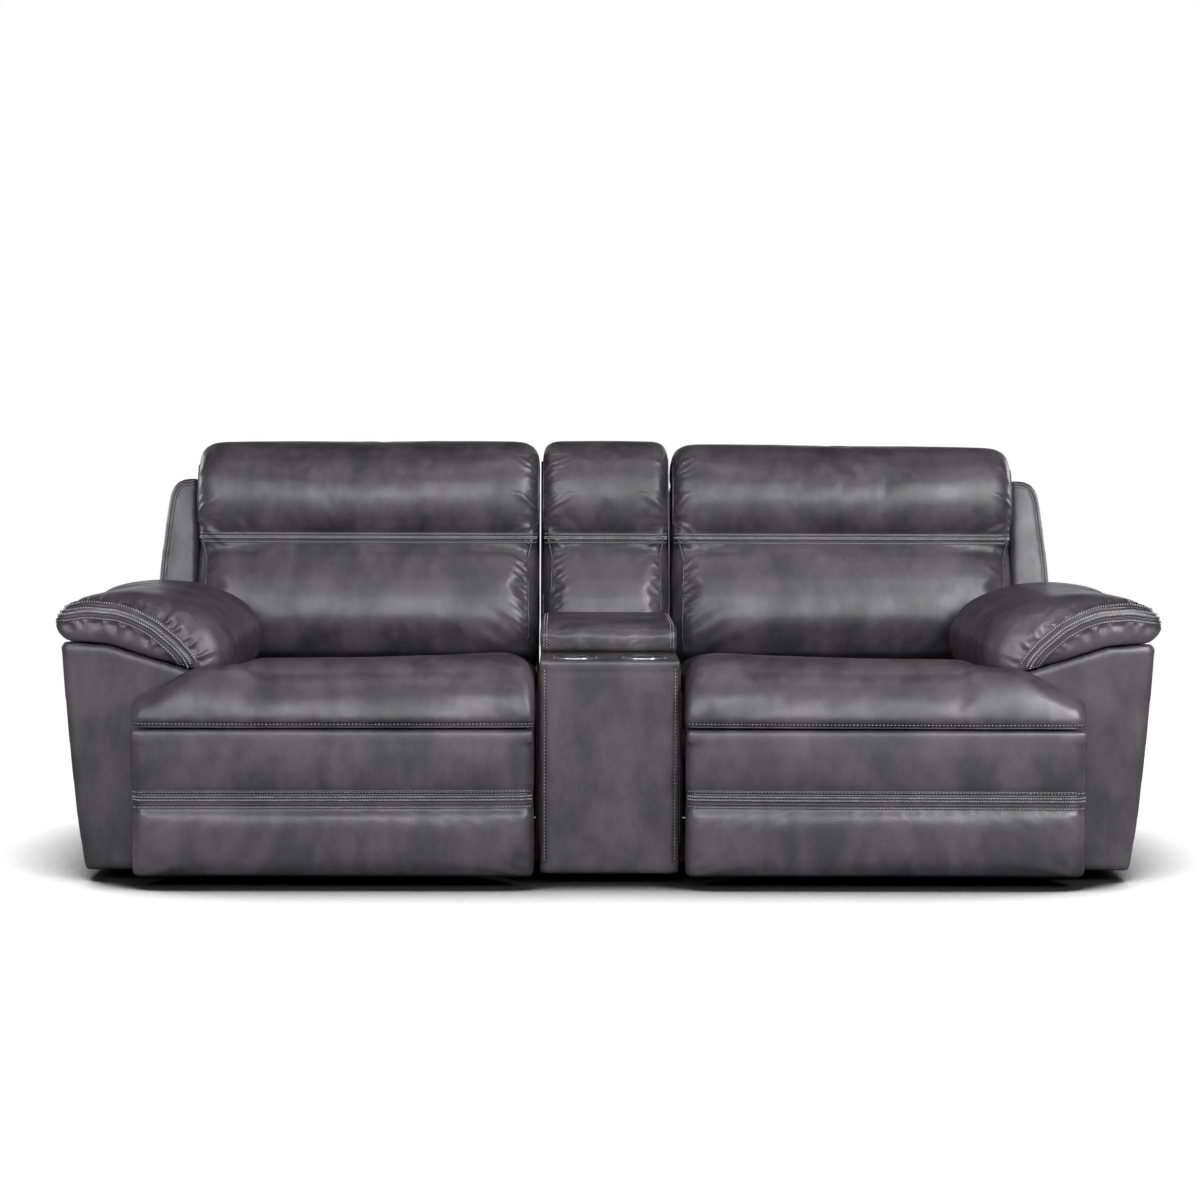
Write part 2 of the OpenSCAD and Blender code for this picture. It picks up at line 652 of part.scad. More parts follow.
// Degrees past upright at which the open lid stops
lid_past = 7;
module lid_pad() color(leather) {
  z = deck_z + 2 * soft_gap + lid_board_t;
  tall = deck_z + soft_gap + lid_h - z;
  slot = 2 * hinge_t + 3 * layer_gap + 2 * soft_gap;
  difference() {
    loft([for (at = stations(console_w, lid_roll, 3, 3))
      let (draw = (1 - fullness(at, console_w, lid_roll)) * lid_roll / 2)
      [for (p = concat(
          [for (s = lid_top_shares) [deck_rear + draw + s[0] * lid_d, z + s[1] * (tall - draw)]],
          [for (a = [90:-30:-90]) hinge_at + (hinge_r - draw) * [cos(a), sin(a)]],
          [[lid_board_rear + soft_gap, hinge_at[1] - hinge_r + draw], [lid_board_rear + soft_gap, z]]))
        [at - console_half, p[0], p[1]]]]);
    for (side = [-1, 1])
      block([side * (hinge_x + hinge_t / 2 - layer_gap) - slot / 2 - hinge_t * (side > 0 ? 0.5 : -0.5),
             lid_board_rear - 2 * knuckle_w, deck_z - over],
            [side * (hinge_x + hinge_t / 2 - layer_gap) + slot / 2 - hinge_t * (side > 0 ? 0.5 : -0.5),
             lid_rear + over, hinge_at[1] + ear_r + hinge_r * sin(lid_past) + soft_gap]);
  }
}

// Backs. Each is drawn in the frame of lean().

post_w = 30;
post_d = 45;
rail_d = 18;
rail_tall = 60;
frame_drop = 14;
frame_top = shell_h - frame_drop;
frame_rail_z = [60, 250, frame_top - rail_tall];
// Sinuous springs lie on the front of the frame, and the cushions lie on them
spring_wire = 4;
spring_t = 3.5;
spring_swing = 24;
back_base = spring_t + soft_gap;
shell_t = 18;
skin_t = 12;
shell_round = 12;

console_post_x = 62;
module console_back_frame() color(plywood) difference() {
  lean() {
    for (x = [-console_post_x - post_w, console_post_x])
      block([x, 0, -post_d], [x + post_w, post_d, frame_top]);
    for (z = frame_rail_z)
      block([-console_post_x - post_w, post_d, z], [console_post_x + post_w, post_d + rail_d, z + rail_tall]);
  }
  block([-console_w, 0, 0], [console_w, overall_d, plinth_z]);
}
module console_back_cover() color(leather) difference() {
  lean() {
    hull() {
      block([-console_half, back_shell_d - shell_t, -shell_round],
        [console_half, back_shell_d - shell_round, shell_h]);
      block([-console_half + shell_round, back_shell_d - shell_t, -shell_round],
        [console_half - shell_round, back_shell_d, shell_h - shell_round]);
    }
    for (x = [-console_half, console_half - skin_t])
      block([x, -back_base, -post_d], [x + skin_t, back_shell_d - shell_t, shell_h]);
    block([-console_half + skin_t, -back_base, frame_top],
      [console_half - skin_t, back_shell_d - shell_t, shell_h]);
  }
  block([-console_w, 0, 0], [console_w, overall_d, plinth_z]);
}

// Stand-off and height shares of the lumbar cushion, from its bottom to the sewn band
lumbar_shares = [[0, 0], [0.55, 0], [0.80, 0.04], [0.93, 0.14], [1, 0.32], [0.99, 0.5], [0.94, 0.68],
  [0.86, 0.84], [0.78, 0.93], [0.68, 0.985], [0.62, 1], [0, 1]];
lumbar_z = 90;
lumbar_edge_share = 0.62;
lumbar_draw_share = 0.04;
lumbar_crown_share = 0.05;
module lumbar(x0, x1, roll, ends, mids) color(leather) lean() translate([0, -back_base, lumbar_z])
  loft(stuffed(lumbar_shares, x0, x1, back_pad_t, band_h - soft_gap - lumbar_z, roll,
    lumbar_edge_share, lumbar_draw_share, lumbar_crown_share, ends, mids));

// Shares of the head pillow, from the band over its crown to its roll behind the shell's top
pillow_lift = 4;
pillow_hang = 20;
back_h = shell_h + back_rise;
pillow_rise = back_h - band_h;
pillow_low_share = (shell_h + pillow_lift - band_h) / pillow_rise;
pillow_shares = [[0, 0], [0.62, 0], [0.72, 0.03], [0.86, 0.1], [0.95, 0.22], [1, 0.4], [1, 0.58],
  [0.95, 0.76],
  [0.82, 0.9], [0.6, 0.975], [0.3, 1], [0, 1], [-0.35, 0.985], [-0.6, 0.92], [-0.72, 0.82],
  [-0.72, pillow_low_share + pillow_hang / pillow_rise], [-0.64, pillow_low_share], [0, pillow_low_share]];
pillow_edge_share = 0.8;
pillow_crown_share = 0.03;
// Drop of the pillow's top corners
pillow_corner = 34;
module head_pillow(x0, x1, roll, ends, mids) color(leather) lean() translate([0, -back_base, band_h])
  loft([for (ring = stuffed(pillow_shares, x0, x1, back_pad_t, pillow_rise, roll,
      pillow_edge_share, 0, pillow_crown_share, ends, mids))
    [for (p = ring) let (full = fullness(p[0] - x0, x1 - x0, roll), shelf = shell_h - band_h)
      [p[0], p[1], p[2] - (1 - full) * pillow_corner * max(0, (p[2] - shelf) / (pillow_rise - shelf))]]]);

back_roll = 46;
console_roll = 30;
module console_lumbar() lumbar(-console_half, console_half, console_roll, 3, 2);
module console_head_pillow() head_pillow(-console_half, console_half, console_roll, 3, 2);
module lumbar_cushion() lumbar(seat_in, cushion_out - arm_gap, back_roll, 3, 5);
module seat_head_pillow() head_pillow(seat_in, cushion_out - arm_gap, back_roll, 3, 5);

bracket_w = 30;
bracket_reach = [28, 190];
bracket_x = plate_x + layer;
module back_brackets() color(steel) lean() both_sides() {
  bar([0, 0], bracket_reach, bracket_x, bracket_w, []);
  rod(plate_x, bracket_x + link_t, [0, 0], pin_r);
}
module back_posts() color(plywood) lean() {
  both_sides() block([bracket_x + link_t, 0, -bracket_w / 3],
    [bracket_x + link_t + post_w, post_d, frame_top]);
  block([cushion_out - arm_gap - 2 * post_w, 0, frame_rail_z[0]],
    [cushion_out - arm_gap - post_w, post_d, frame_top]);
}
module back_rails() color(plywood) lean() for (z = frame_rail_z)
  block([seat_in + skin_t + soft_gap, post_d, z], [cushion_out - soft_gap, post_d + rail_d, z + rail_tall]);

wing_low = 30;
// Outline of a wing's outer edge, as shares of its width and of the shell's height
wing_shares = [[1, 0.4], [0.905, 0.635], [0.81, 0.76], [0.76, 0.885], [0.7, 0.945], [0.55, 0.985],
  [0.33, 1], [0, 1]];
module back_cover() color(leather) lean() {
  edge = [for (s = wing_shares) [cushion_out + s[0] * wing_w, s[1] * shell_h]];
  outline = concat([[seat_in, 0], [wing_out, 0]], edge, [[seat_in, shell_h]]);
  middle = [(seat_in + wing_out) / 2, shell_h / 2];
  hull() {
    plate_xz(outline, back_shell_d - shell_t, back_shell_d - shell_round);
    plate_xz(about(outline, shell_round, middle), back_shell_d - shell_t, back_shell_d);
  }
  // Side towards the console, and top
  block([seat_in, -back_base, 0], [seat_in + skin_t, back_shell_d - shell_t, shell_h]);
  block([seat_in + skin_t, 0, frame_top], [cushion_out, back_shell_d - shell_t, shell_h]);
  // Wing
  wing = concat([[cushion_out, wing_low], [wing_out, wing_low]], edge);
  wing_middle = [cushion_out + wing_w / 2, shell_h / 2];
  hull() {
    plate_xz(wing, shell_round - wing_reach, back_shell_d - shell_t);
    plate_xz(about(wing, shell_round, wing_middle), -wing_reach, 0);
  }
}

// Sinuous spring as a flat zigzag along Y, centred on X
module zigzag(reach, turns) linear_extrude(spring_t) polygon(concat(
  [for (i = [0:turns]) [(i % 2 == 0 ? -1 : 1) * spring_swing - spring_wire / 2, reach * i / turns]],
  [for (i = [turns:-1:0]) [(i % 2 == 0 ? -1 : 1) * spring_swing + spring_wire / 2, reach * i / turns]]));
back_spring_z = [130, 195, 260, 325, 390];
module back_springs() color(steel) lean() for (z = back_spring_z)
  translate([bracket_x + link_t, 0, z]) rotate([90, 0, 0]) rotate([0, 0, -90])
    zigzag(2 * (seat_mid - bracket_x - link_t), 14);

// Seats. Each rides on its side plates.

bar_t = 8;
bar_d = 30;
plate_top = platform_z - soft_gap - spring_t - bar_t;
plate_front_inset = 85;
plate_deep_inset = 290;
plate_front = front_y + plate_front_inset;
plate_deep_front = front_y + plate_deep_inset;
plate_tail = 24;
plate_rear = pivot_y + plate_tail;
plate_low = channel_z + channel_t + runner_fit;
plate_shallow = 44;
ear_plate_r = 22;
module side_plates() color(steel) both_sides() difference() {
  union() {
    block([plate_x, plate_front, plate_top - plate_shallow], [plate_x + link_t, plate_deep_front, plate_top]);
    block([plate_x, plate_deep_front, plate_low], [plate_x + link_t, plate_rear, plate_top]);
    block([plate_x, pivot_y - ear_plate_r, plate_top], [plate_x + link_t, pivot_y + ear_plate_r,
      back_pivot_z]);
    rod(plate_x, plate_x + link_t, [pivot_y, back_pivot_z], ear_plate_r);
    // Runner in the fixed rail
    block([channel_x + channel_t + runner_fit, plate_deep_front, plate_low],
      [plate_x, pivot_y, channel_z + channel_h - channel_t - runner_fit]);
    // Pins of the footrest links
    rod(plate_x, rear_link_x + link_t, link_a, pin_r);
    rod(plate_x, control_link_x + link_t, link_a + link_shift, pin_r);
  }
  rod(plate_x - over, plate_x + link_t + over, [pivot_y, back_pivot_z], pin_r + pin_fit);
}

seat_rear_inset = 118;
seat_rear = pivot_y - seat_rear_inset;
bar_behind = 8;
rear_bar_y = seat_rear - bar_d + bar_behind;
tube_r = 12;
tube_inset = 200;
tube_z = 215;
tube_at = [pivot_y - tube_inset, tube_z];
module cross_rails() color(steel) {
  for (y = [plate_front, rear_bar_y])
    block([plate_x, y, plate_top], [2 * seat_mid - plate_x, y + bar_d, plate_top + bar_t]);
  rod(plate_x + link_t, 2 * seat_mid - plate_x - link_t, tube_at, tube_r);
}
spring_pitch = 92;
module seat_springs() color(steel) for (i = [-2:2])
  translate([seat_mid + i * spring_pitch, plate_front, plate_top + bar_t])
    zigzag(rear_bar_y + bar_d - plate_front, 16);

// Height of the seat's crown across its width, as shares of its height above the platform
crown_shares = [[0, 0.99], [0.02, 1.05], [0.055, 1.09], [0.2, 1.04], [0.45, 1], [0.8, 0.985], [0.865, 0.91],
  [0.914, 0.75], [0.94, 0.64], [1, 0.59]];
function crown(x) = (seat_z - platform_z) * lookup((x - seat_in) / (ear_out - seat_in), crown_shares);
// Section of the seat: depth shares from the front, height shares above the platform.
// The points at nose_share lie at nose_z, and behind seat_flat_share the top falls by seat_fall.
nose_share = 0.18;
seat_flat_share = 0.16;
seat_front_share = 0.1;
seat_shares = [[0.02, nose_share], [0, 0.3], [0, 0.55], [0.012, 0.75], [0.04, 0.9], [0.09, 0.985], [0.16, 1],
  [0.35, 1], [0.6, 1], [0.82, 0.99], [0.95, 0.93], [1, 0.75], [1, 0.1], [0.985, 0], [0.5, 0], [0.128, 0],
  [0.122, nose_share]];
seat_roll = 34;
seat_draw = 22;
seat_front_draw = 7;
function seat_ring(at) =
  let (x = seat_in + at, empty = 1 - fullness(at, seat_w, seat_roll), top = crown(x), span = seat_rear
    - front_y)
  [for (s = seat_shares) let (fall = seat_fall * max(0, s[0] - seat_flat_share) / (1 - seat_flat_share))
    [x, front_y + s[0] * span + (s[0] < seat_front_share ? empty * seat_front_draw : 0),
     s[1] == 0 ? platform_z : s[1] == nose_share ? nose_z : platform_z + s[1]
       * (top - fall - empty * seat_draw)]];
// Section of the part of the front that reaches over the arm
ear_shares = [[1, 0], [0.12, 0], [0, 0.12], [0, 0.5], [0.06, 0.76], [0.22, 0.93], [0.48, 1], [0.8, 1],
  [1, 0.94],
  [1, 0.5]];
ear_overlap = 40;
ear_roll = 26;
ear_narrow_share = 0.4;
ear_low_share = 0.12;
function ear_ring(x) =
  let (empty = 1 - fullness(min(ear_out - x, ear_roll), 4 * ear_roll, ear_roll), deep = nose_d - 2 * arm_gap)
  [for (s = ear_shares) [x, front_y + deep * (s[0] + (0.5 - s[0]) * ear_narrow_share * empty),
    nose_z + (platform_z + crown(x) - nose_z) * (0.5 + (s[1] - 0.5) * (1 - ear_low_share * empty))]];
module seat_cushion() color(leather) union() {
  loft([for (at = stations(seat_w, seat_roll, 3, 7)) seat_ring(at)]);
  loft([for (k = [0:5]) ear_ring(seat_out - ear_overlap + k * (ear_w + ear_overlap - ear_roll) / 5),
    for (k = [1:3]) ear_ring(ear_out - ear_roll * (1 - sin(90 * k / 3)))]);
}

// Footrest: links, carrier, board and pad

// The pins of the control links are thinner, as they only keep the carrier level
pin_slack = 1;
module rear_links() color(steel) both_sides() {
  bar(link_a, link_b, rear_link_x, link_w, [0]);
  rod(rear_link_x, carrier_x + link_t, link_b, pin_r);
}
module control_links() color(steel) both_sides() {
  bar(link_a + link_shift, link_b + link_shift, control_link_x, link_w, [0]);
  rod(carrier_x, control_link_x + link_t, link_b + link_shift, pin_r - pin_slack);
}
// Share of the way along the carrier at which the tie rod joins both sides
tie_share = 0.16;
tie_r = 9;
module foot_carrier() color(steel) {
  both_sides() difference() {
    union() {
      bar(foot_pivot, link_b, carrier_x, link_w, []);
      bar(link_b, link_b + link_shift, carrier_x, link_w - link_t, [], [1]);
    }
    for (at = [foot_pivot, link_b, link_b + link_shift])
      rod(carrier_x - over, carrier_x + link_t + over, at, pin_r + pin_fit);
  }
  rod(carrier_x + link_t, 2 * seat_mid - carrier_x - link_t, foot_pivot + tie_share
    * (link_b - foot_pivot), tie_r);
}
foot_leaf_w = 32;
foot_leaf_h = 170;
foot_leaf_share = 0.45;
module foot_brackets() color(steel) both_sides() {
  low = foot_pivot[1] - foot_leaf_h * foot_leaf_share;
  block([control_link_x, foot_back, low], [control_link_x + foot_leaf_w, foot_back + link_t, low
    + foot_leaf_h]);
  block([control_link_x, foot_back + link_t, foot_pivot[1] - link_w / 2],
    [control_link_x + link_t, foot_pivot[0], foot_pivot[1] + link_w / 2]);
  rod(control_link_x, control_link_x + link_t, foot_pivot, link_w / 2);
  rod(carrier_x, control_link_x, foot_pivot, pin_r);
}
board_margin = 11;
module foot_board() color(plywood)
  block([seat_in + board_margin, foot_back - foot_board_t, skirt_z + board_margin],
    [ear_out - board_margin, foot_back, foot_top - board_margin]);

foot_h = foot_top - skirt_z;
band_low_share = (foot_band_z - foot_band_h / 2 - skirt_z) / foot_h;
band_high_share = (foot_band_z + foot_band_h / 2 - skirt_z) / foot_h;
band_edge_share = 0.02;
foot_shares = [[0, 0], [0.5, 0], [0.82, 0.015], [0.96, 0.08], [1, 0.2], [0.99, 0.34],
  [0.94, band_low_share - band_edge_share],
  [0.84, band_low_share], [0.84, band_high_share], [0.94, band_high_share + band_edge_share], [1, 0.72],
    [0.98, 0.87],
  [0.88, 0.965], [0.7, 1], [0, 1]];
foot_roll = 26;
foot_edge_share = 0.45;
foot_draw_share = 0.01;
foot_crown_share = 0.02;
module foot_pad() color(leather) translate([0, foot_back - foot_board_t - soft_gap, skirt_z])
  loft(stuffed(foot_shares, seat_in, ear_out + arm_gap, foot_pad_t - soft_gap, foot_h, foot_roll,
    foot_edge_share, foot_draw_share, foot_crown_share, 3, 5));

base_rails();
rear_panel();
glides();
mechanism_rails();
arm_frames();
left() arm_cover();  // arm_cover_left
arm_cover();  // arm_cover_right
left() arm_pad();  // arm_pad_left
arm_pad();  // arm_pad_right
release_bezels();
release_cables();
left() release_handle();  // release_handle_left
release_handle();  // release_handle_right
console_box();
console_front_pad();
console_deck();
cup_holders();
storage_liner();
lid_hinge();
lid_board();
lid_pad();
console_back_frame();
console_back_cover();
console_lumbar();
console_head_pillow();
left() side_plates();  // side_plates_left
side_plates();  // side_plates_right
left() cross_rails();  // cross_rails_left
cross_rails();  // cross_rails_right
left() seat_springs();  // seat_springs_left
seat_springs();  // seat_springs_right
left() seat_cushion();  // seat_cushion_left
seat_cushion();  // seat_cushion_right
left() back_brackets();  // back_brackets_left
back_brackets();  // back_brackets_right
left() back_posts();  // back_posts_left
back_posts();  // back_posts_right
left() back_rails();  // back_rails_left
back_rails();  // back_rails_right
left() back_springs();  // back_springs_left
back_springs();  // back_springs_right
left() back_cover();  // back_cover_left
back_cover();  // back_cover_right
left() lumbar_cushion();  // lumbar_cushion_left
lumbar_cushion();  // lumbar_cushion_right
left() seat_head_pillow();  // head_pillow_left
seat_head_pillow();  // head_pillow_right
left() rear_links();  // rear_links_left
rear_links();  // rear_links_right
left() control_links();  // control_links_left
control_links();  // control_links_right
left() foot_carrier();  // foot_carrier_left
foot_carrier();  // foot_carrier_right
left() foot_brackets();  // foot_brackets_left
foot_brackets();  // foot_brackets_right
left() foot_board();  // foot_board_left
foot_board();  // foot_board_right
left() foot_pad();  // foot_pad_left
foot_pad();  // foot_pad_right
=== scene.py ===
# Looks of a reclining console loveseat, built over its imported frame. Metres, +Z up, the front faces -Y.
import bpy, bmesh, math
import numpy as np
from mathutils import Matrix, Vector
from mathutils.bvhtree import BVHTree


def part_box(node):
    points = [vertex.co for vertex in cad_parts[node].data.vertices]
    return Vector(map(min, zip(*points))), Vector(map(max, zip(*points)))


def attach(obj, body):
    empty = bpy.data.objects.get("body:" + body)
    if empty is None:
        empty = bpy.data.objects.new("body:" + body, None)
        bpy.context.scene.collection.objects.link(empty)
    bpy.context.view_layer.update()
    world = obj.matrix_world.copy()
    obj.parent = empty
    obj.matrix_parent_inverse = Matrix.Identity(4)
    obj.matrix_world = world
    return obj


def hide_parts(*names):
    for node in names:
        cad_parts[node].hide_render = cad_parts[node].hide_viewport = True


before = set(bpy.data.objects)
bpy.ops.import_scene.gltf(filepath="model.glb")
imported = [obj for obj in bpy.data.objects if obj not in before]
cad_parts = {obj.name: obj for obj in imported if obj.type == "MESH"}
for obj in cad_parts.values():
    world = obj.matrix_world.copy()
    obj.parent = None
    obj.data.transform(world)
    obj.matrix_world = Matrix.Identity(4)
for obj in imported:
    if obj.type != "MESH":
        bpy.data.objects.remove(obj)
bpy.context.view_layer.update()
scene = bpy.context.scene
scene.view_settings.view_transform = "Standard"

# Camera. A long lens at the height of the backs, a little left of the middle, looks slightly down.
eye = Vector((-0.084, -5.29, 0.906))
lens = bpy.data.cameras.new("camera")
lens.sensor_width, lens.lens = 36.0, 72.65
camera = bpy.data.objects.new("camera", lens)
camera.matrix_world = (Matrix.Translation(eye) @ Matrix.Rotation(math.radians(-0.746), 4, "Z")
                       @ Matrix.Rotation(math.radians(86.19), 4, "X") @ Matrix.Rotation(math.radians(0.2), 4, "Z"))
scene.collection.objects.link(camera)
scene.camera = camera

# Studio lamps. A wide soft box hangs in front above the camera, one stands to each side, the right one brighter, a
# weak one hangs over the seats, and two weak ones stand behind, for the sides and the rear.
for label, place, aim, wide, tall, power in (
        ("front_soft_box", (0, -3.6, 1.68), (0, 0, 0.50), 2.6, 0.75, 104),
        ("left_soft_box", (-2.1, -2.9, 1.75), (-0.5, 0, 0.55), 0.8, 1.2, 55),
        ("right_soft_box", (2.1, -2.8, 2.0), (0.5, 0, 0.55), 0.8, 1.2, 132),
        ("overhead_box", (0, -1.2, 3.0), (0, -0.1, 0.4), 3.0, 0.8, 26),
        ("left_fill_box", (-3.2, 1.9, 1.5), (0, 0.2, 0.45), 1.0, 1.4, 30),
        ("right_fill_box", (3.2, 1.9, 1.5), (0, 0.2, 0.45), 1.0, 1.4, 30)):
    lamp = bpy.data.lights.new(label, "AREA")
    lamp.shape, lamp.size, lamp.size_y, lamp.energy = "RECTANGLE", wide, tall, power
    stand = bpy.data.objects.new(label, lamp)
    stand.location = place
    stand.rotation_euler = (Vector(aim) - Vector(place)).to_track_quat("-Z", "Y").to_euler()
    scene.collection.objects.link(stand)

# Room. White paper all round up to head height and a dark ceiling, which the leather shows in its gloss.


def tone_ramp(nodes, low, deep, high, pale):
    """A ramp between two colours, each at its own place on the ramp."""
    ramp = nodes.new("ShaderNodeValToRGB")
    for stop, at, color in zip(ramp.color_ramp.elements, (low, high), (deep, pale)):
        stop.position, stop.color = at, (*color, 1)
    return ramp


def map_range(nodes, to, since=(0.0, 1.0)):
    """A value that runs between the ends of since comes out between the ends of to."""
    span = nodes.new("ShaderNodeMapRange")
    span.inputs["From Min"].default_value, span.inputs["From Max"].default_value = since
    span.inputs["To Min"].default_value, span.inputs["To Max"].default_value = to
    return span


def greatest(tree, sockets):
    """The greatest of several values."""
    best = sockets[0]
    for socket in sockets[1:]:
        step = tree.nodes.new("ShaderNodeMath"); step.operation = "MAXIMUM"
        tree.links.new(best, step.inputs[0])
        tree.links.new(socket, step.inputs[1])
        best = step.outputs[0]
    return best


room = bpy.data.worlds.new("studio")
scene.world = room
room.use_nodes = True
rn, rl = room.node_tree.nodes, room.node_tree.links
where = rn.new("ShaderNodeTexCoord")
parts = rn.new("ShaderNodeSeparateXYZ")
ceiling = tone_ramp(rn, 0.19, (1, 1, 1), 0.45, (0.08, 0.08, 0.085))
rays = rn.new("ShaderNodeLightPath")
level = map_range(rn, (0.06, 1.0))
rl.new(where.outputs["Generated"], parts.inputs[0])
rl.new(parts.outputs["Z"], ceiling.inputs["Fac"])
rl.new(ceiling.outputs["Color"], rn["Background"].inputs["Color"])
rl.new(greatest(room.node_tree, [rays.outputs["Is Camera Ray"], rays.outputs["Is Glossy Ray"],
                                 rays.outputs["Is Transmission Ray"]]), level.inputs["Value"])
rl.new(level.outputs["Result"], rn["Background"].inputs["Strength"])

# Floor. White paper that runs into the white behind it. It glows white for the camera and less for the leather's
# gloss. The loveseat's shadow close round its foot is painted: ambient occlusion takes the glow out and darkens the
# paper's colour where the loveseat stands close over it.


def add_piece(name, bm):
    """Puts a finished bmesh into the scene as a piece of its own."""
    mesh = bpy.data.meshes.new(name)
    bm.to_mesh(mesh); bm.free()
    piece = bpy.data.objects.new(name, mesh)
    scene.collection.objects.link(piece)
    return piece


bm = bmesh.new()
bmesh.ops.create_circle(bm, cap_ends=True, radius=14, segments=96)
floor = add_piece("floor", bm)
paper = bpy.data.materials.new("paper")
paper.use_nodes = True
pn, pl = paper.node_tree.nodes, paper.node_tree.links
sheet = pn["Principled BSDF"]
sheet.inputs["Roughness"].default_value, sheet.inputs["Specular IOR Level"].default_value = 0.9, 0.0
glow = pn.new("ShaderNodeEmission")
both = pn.new("ShaderNodeAddShader")
paper_rays = pn.new("ShaderNodeLightPath")
in_gloss = pn.new("ShaderNodeMath"); in_gloss.operation = "MULTIPLY"; in_gloss.inputs[1].default_value = 0.45
paper_level = pn.new("ShaderNodeMath"); paper_level.operation = "MULTIPLY"
# Painted shadow: ambient occlusion darkens the paper's colour and dims its glow close round and under the loveseat.
under = pn.new("ShaderNodeAmbientOcclusion"); under.inputs["Distance"].default_value = 0.6
clear = map_range(pn, (0.0, 1.0), (0.44, 0.76))
paper_shadow_tone = pn.new("ShaderNodeMix"); paper_shadow_tone.data_type = "RGBA"
paper_shadow_tone.inputs["A"].default_value = (0.02, 0.02, 0.02, 1)
paper_shadow_tone.inputs["B"].default_value = (0.22, 0.22, 0.22, 1)
pl.new(paper_rays.outputs["Is Glossy Ray"], in_gloss.inputs[0])
pl.new(greatest(paper.node_tree, [paper_rays.outputs["Is Camera Ray"], in_gloss.outputs[0],
                                  paper_rays.outputs["Is Transmission Ray"]]), paper_level.inputs[0])
pl.new(under.outputs["AO"], clear.inputs["Value"])
pl.new(clear.outputs["Result"], paper_level.inputs[1])
pl.new(clear.outputs["Result"], paper_shadow_tone.inputs["Factor"])
pl.new(paper_shadow_tone.outputs["Result"], sheet.inputs["Base Color"])
pl.new(paper_level.outputs[0], glow.inputs["Strength"])
pl.new(sheet.outputs[0], both.inputs[0])
pl.new(glow.outputs[0], both.inputs[1])
pl.new(both.outputs[0], pn["Material Output"].inputs["Surface"])
floor.data.materials.append(paper)

# Timber. The base rails, arm boxes, console box, lid board and back frames are plywood with a dark stain,
# glued and stapled, with the face grain along the longest side of each board.


def effect_group(name):
    """An empty node group that gives a colour, a roughness and a height."""
    group = bpy.data.node_groups.new(name, "ShaderNodeTree")
    for label, kind in (("Color", "NodeSocketColor"), ("Roughness", "NodeSocketFloat"), ("Height", "NodeSocketFloat")):
        group.interface.new_socket(name=label, in_out="OUTPUT", socket_type=kind)
    return group


def noise(nodes, scale, detail):
    """Cloudy noise, which the link after it places on the surface."""
    cloud = nodes.new("ShaderNodeTexNoise")
    cloud.inputs["Scale"].default_value, cloud.inputs["Detail"].default_value = scale, detail
    return cloud


def surface_effect(name, clouds, relief, deep, pale, rough, stops=(0.3, 0.7), stretch=None):
    """A surface whose tone and roughness drift in clouds over a fine relief. Clouds and relief are the scale and
    detail of their noise, and without a relief the clouds make both."""
    group = effect_group(name)
    nodes, link = group.nodes, group.links.new
    out = nodes.new("NodeGroupOutput")
    at = nodes.new("ShaderNodeTexCoord").outputs["Object"]
    if stretch:
        drawn = nodes.new("ShaderNodeMapping"); drawn.inputs["Scale"].default_value = stretch
        link(at, drawn.inputs["Vector"])
        at = drawn.outputs["Vector"]
    cloud = noise(nodes, *clouds)
    fine = noise(nodes, *relief) if relief else cloud
    tone = tone_ramp(nodes, stops[0], deep, stops[1], pale)
    dull = map_range(nodes, rough)
    link(at, cloud.inputs["Vector"])
    link(at, fine.inputs["Vector"])
    link(cloud.outputs["Fac"], tone.inputs["Fac"])
    link(cloud.outputs["Fac"], dull.inputs["Value"])
    link(tone.outputs["Color"], out.inputs["Color"])
    link(dull.outputs["Result"], out.inputs["Roughness"])
    link(fine.outputs["Fac"], out.inputs["Height"])
    return group


def finish(name, effect, bump, depth, metal=0.0, gloss=0.5):
    """A material that takes its colour, roughness and relief from an effect."""
    m = bpy.data.materials.new(name)
    m.use_nodes = True
    n, l = m.node_tree.nodes, m.node_tree.links
    face = n["Principled BSDF"]
    face.inputs["Metallic"].default_value = metal
    face.inputs["Specular IOR Level"].default_value = gloss
    source = n.new("ShaderNodeGroup"); source.node_tree = effect
    relief = n.new("ShaderNodeBump")
    relief.inputs["Strength"].default_value, relief.inputs["Distance"].default_value = bump, depth
    l.new(source.outputs["Color"], face.inputs["Base Color"])
    l.new(source.outputs["Roughness"], face.inputs["Roughness"])
    l.new(source.outputs["Height"], relief.inputs["Height"])
    l.new(relief.outputs["Normal"], face.inputs["Normal"])
    return m


def wear(material, *nodes):
    """Puts a finish on the nodes of the frame that keep their own shape."""
    for node in nodes:
        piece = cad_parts[node]
        piece.data.materials.clear()
        piece.data.materials.append(material)


ply_grain = surface_effect("ply_grain", (1.6, 6.0), None, (0.030, 0.022, 0.016), (0.085, 0.062, 0.043), (0.6, 0.8),
                           stretch=(3, 60, 60))
wear(finish("stained_ply", ply_grain, 0.3, 0.0008, gloss=0.3), "base_rails", "arm_frames", "console_box", "lid_board",
     "console_back_frame", "back_posts_left", "back_posts_right", "back_rails_left", "back_rails_right",
     "foot_board_left", "foot_board_right")

# Steel. The recline mechanism, springs and lid hinge are pressed steel with a baked black coat.
baked_coat = surface_effect("baked_coat", (9.0, 5.0), (380.0, 2.0), (0.016, 0.016, 0.018), (0.050, 0.050, 0.053),
                            (0.38, 0.58), stops=(0.35, 0.75))
wear(finish("black_steel", baked_coat, 0.15, 0.0003), "mechanism_rails", "lid_hinge", *(
    f"{part}_{side}" for side in ("left", "right") for part in (
        "side_plates", "cross_rails", "seat_springs", "back_brackets", "back_springs", "rear_links", "control_links",
        "foot_carrier", "foot_brackets")))

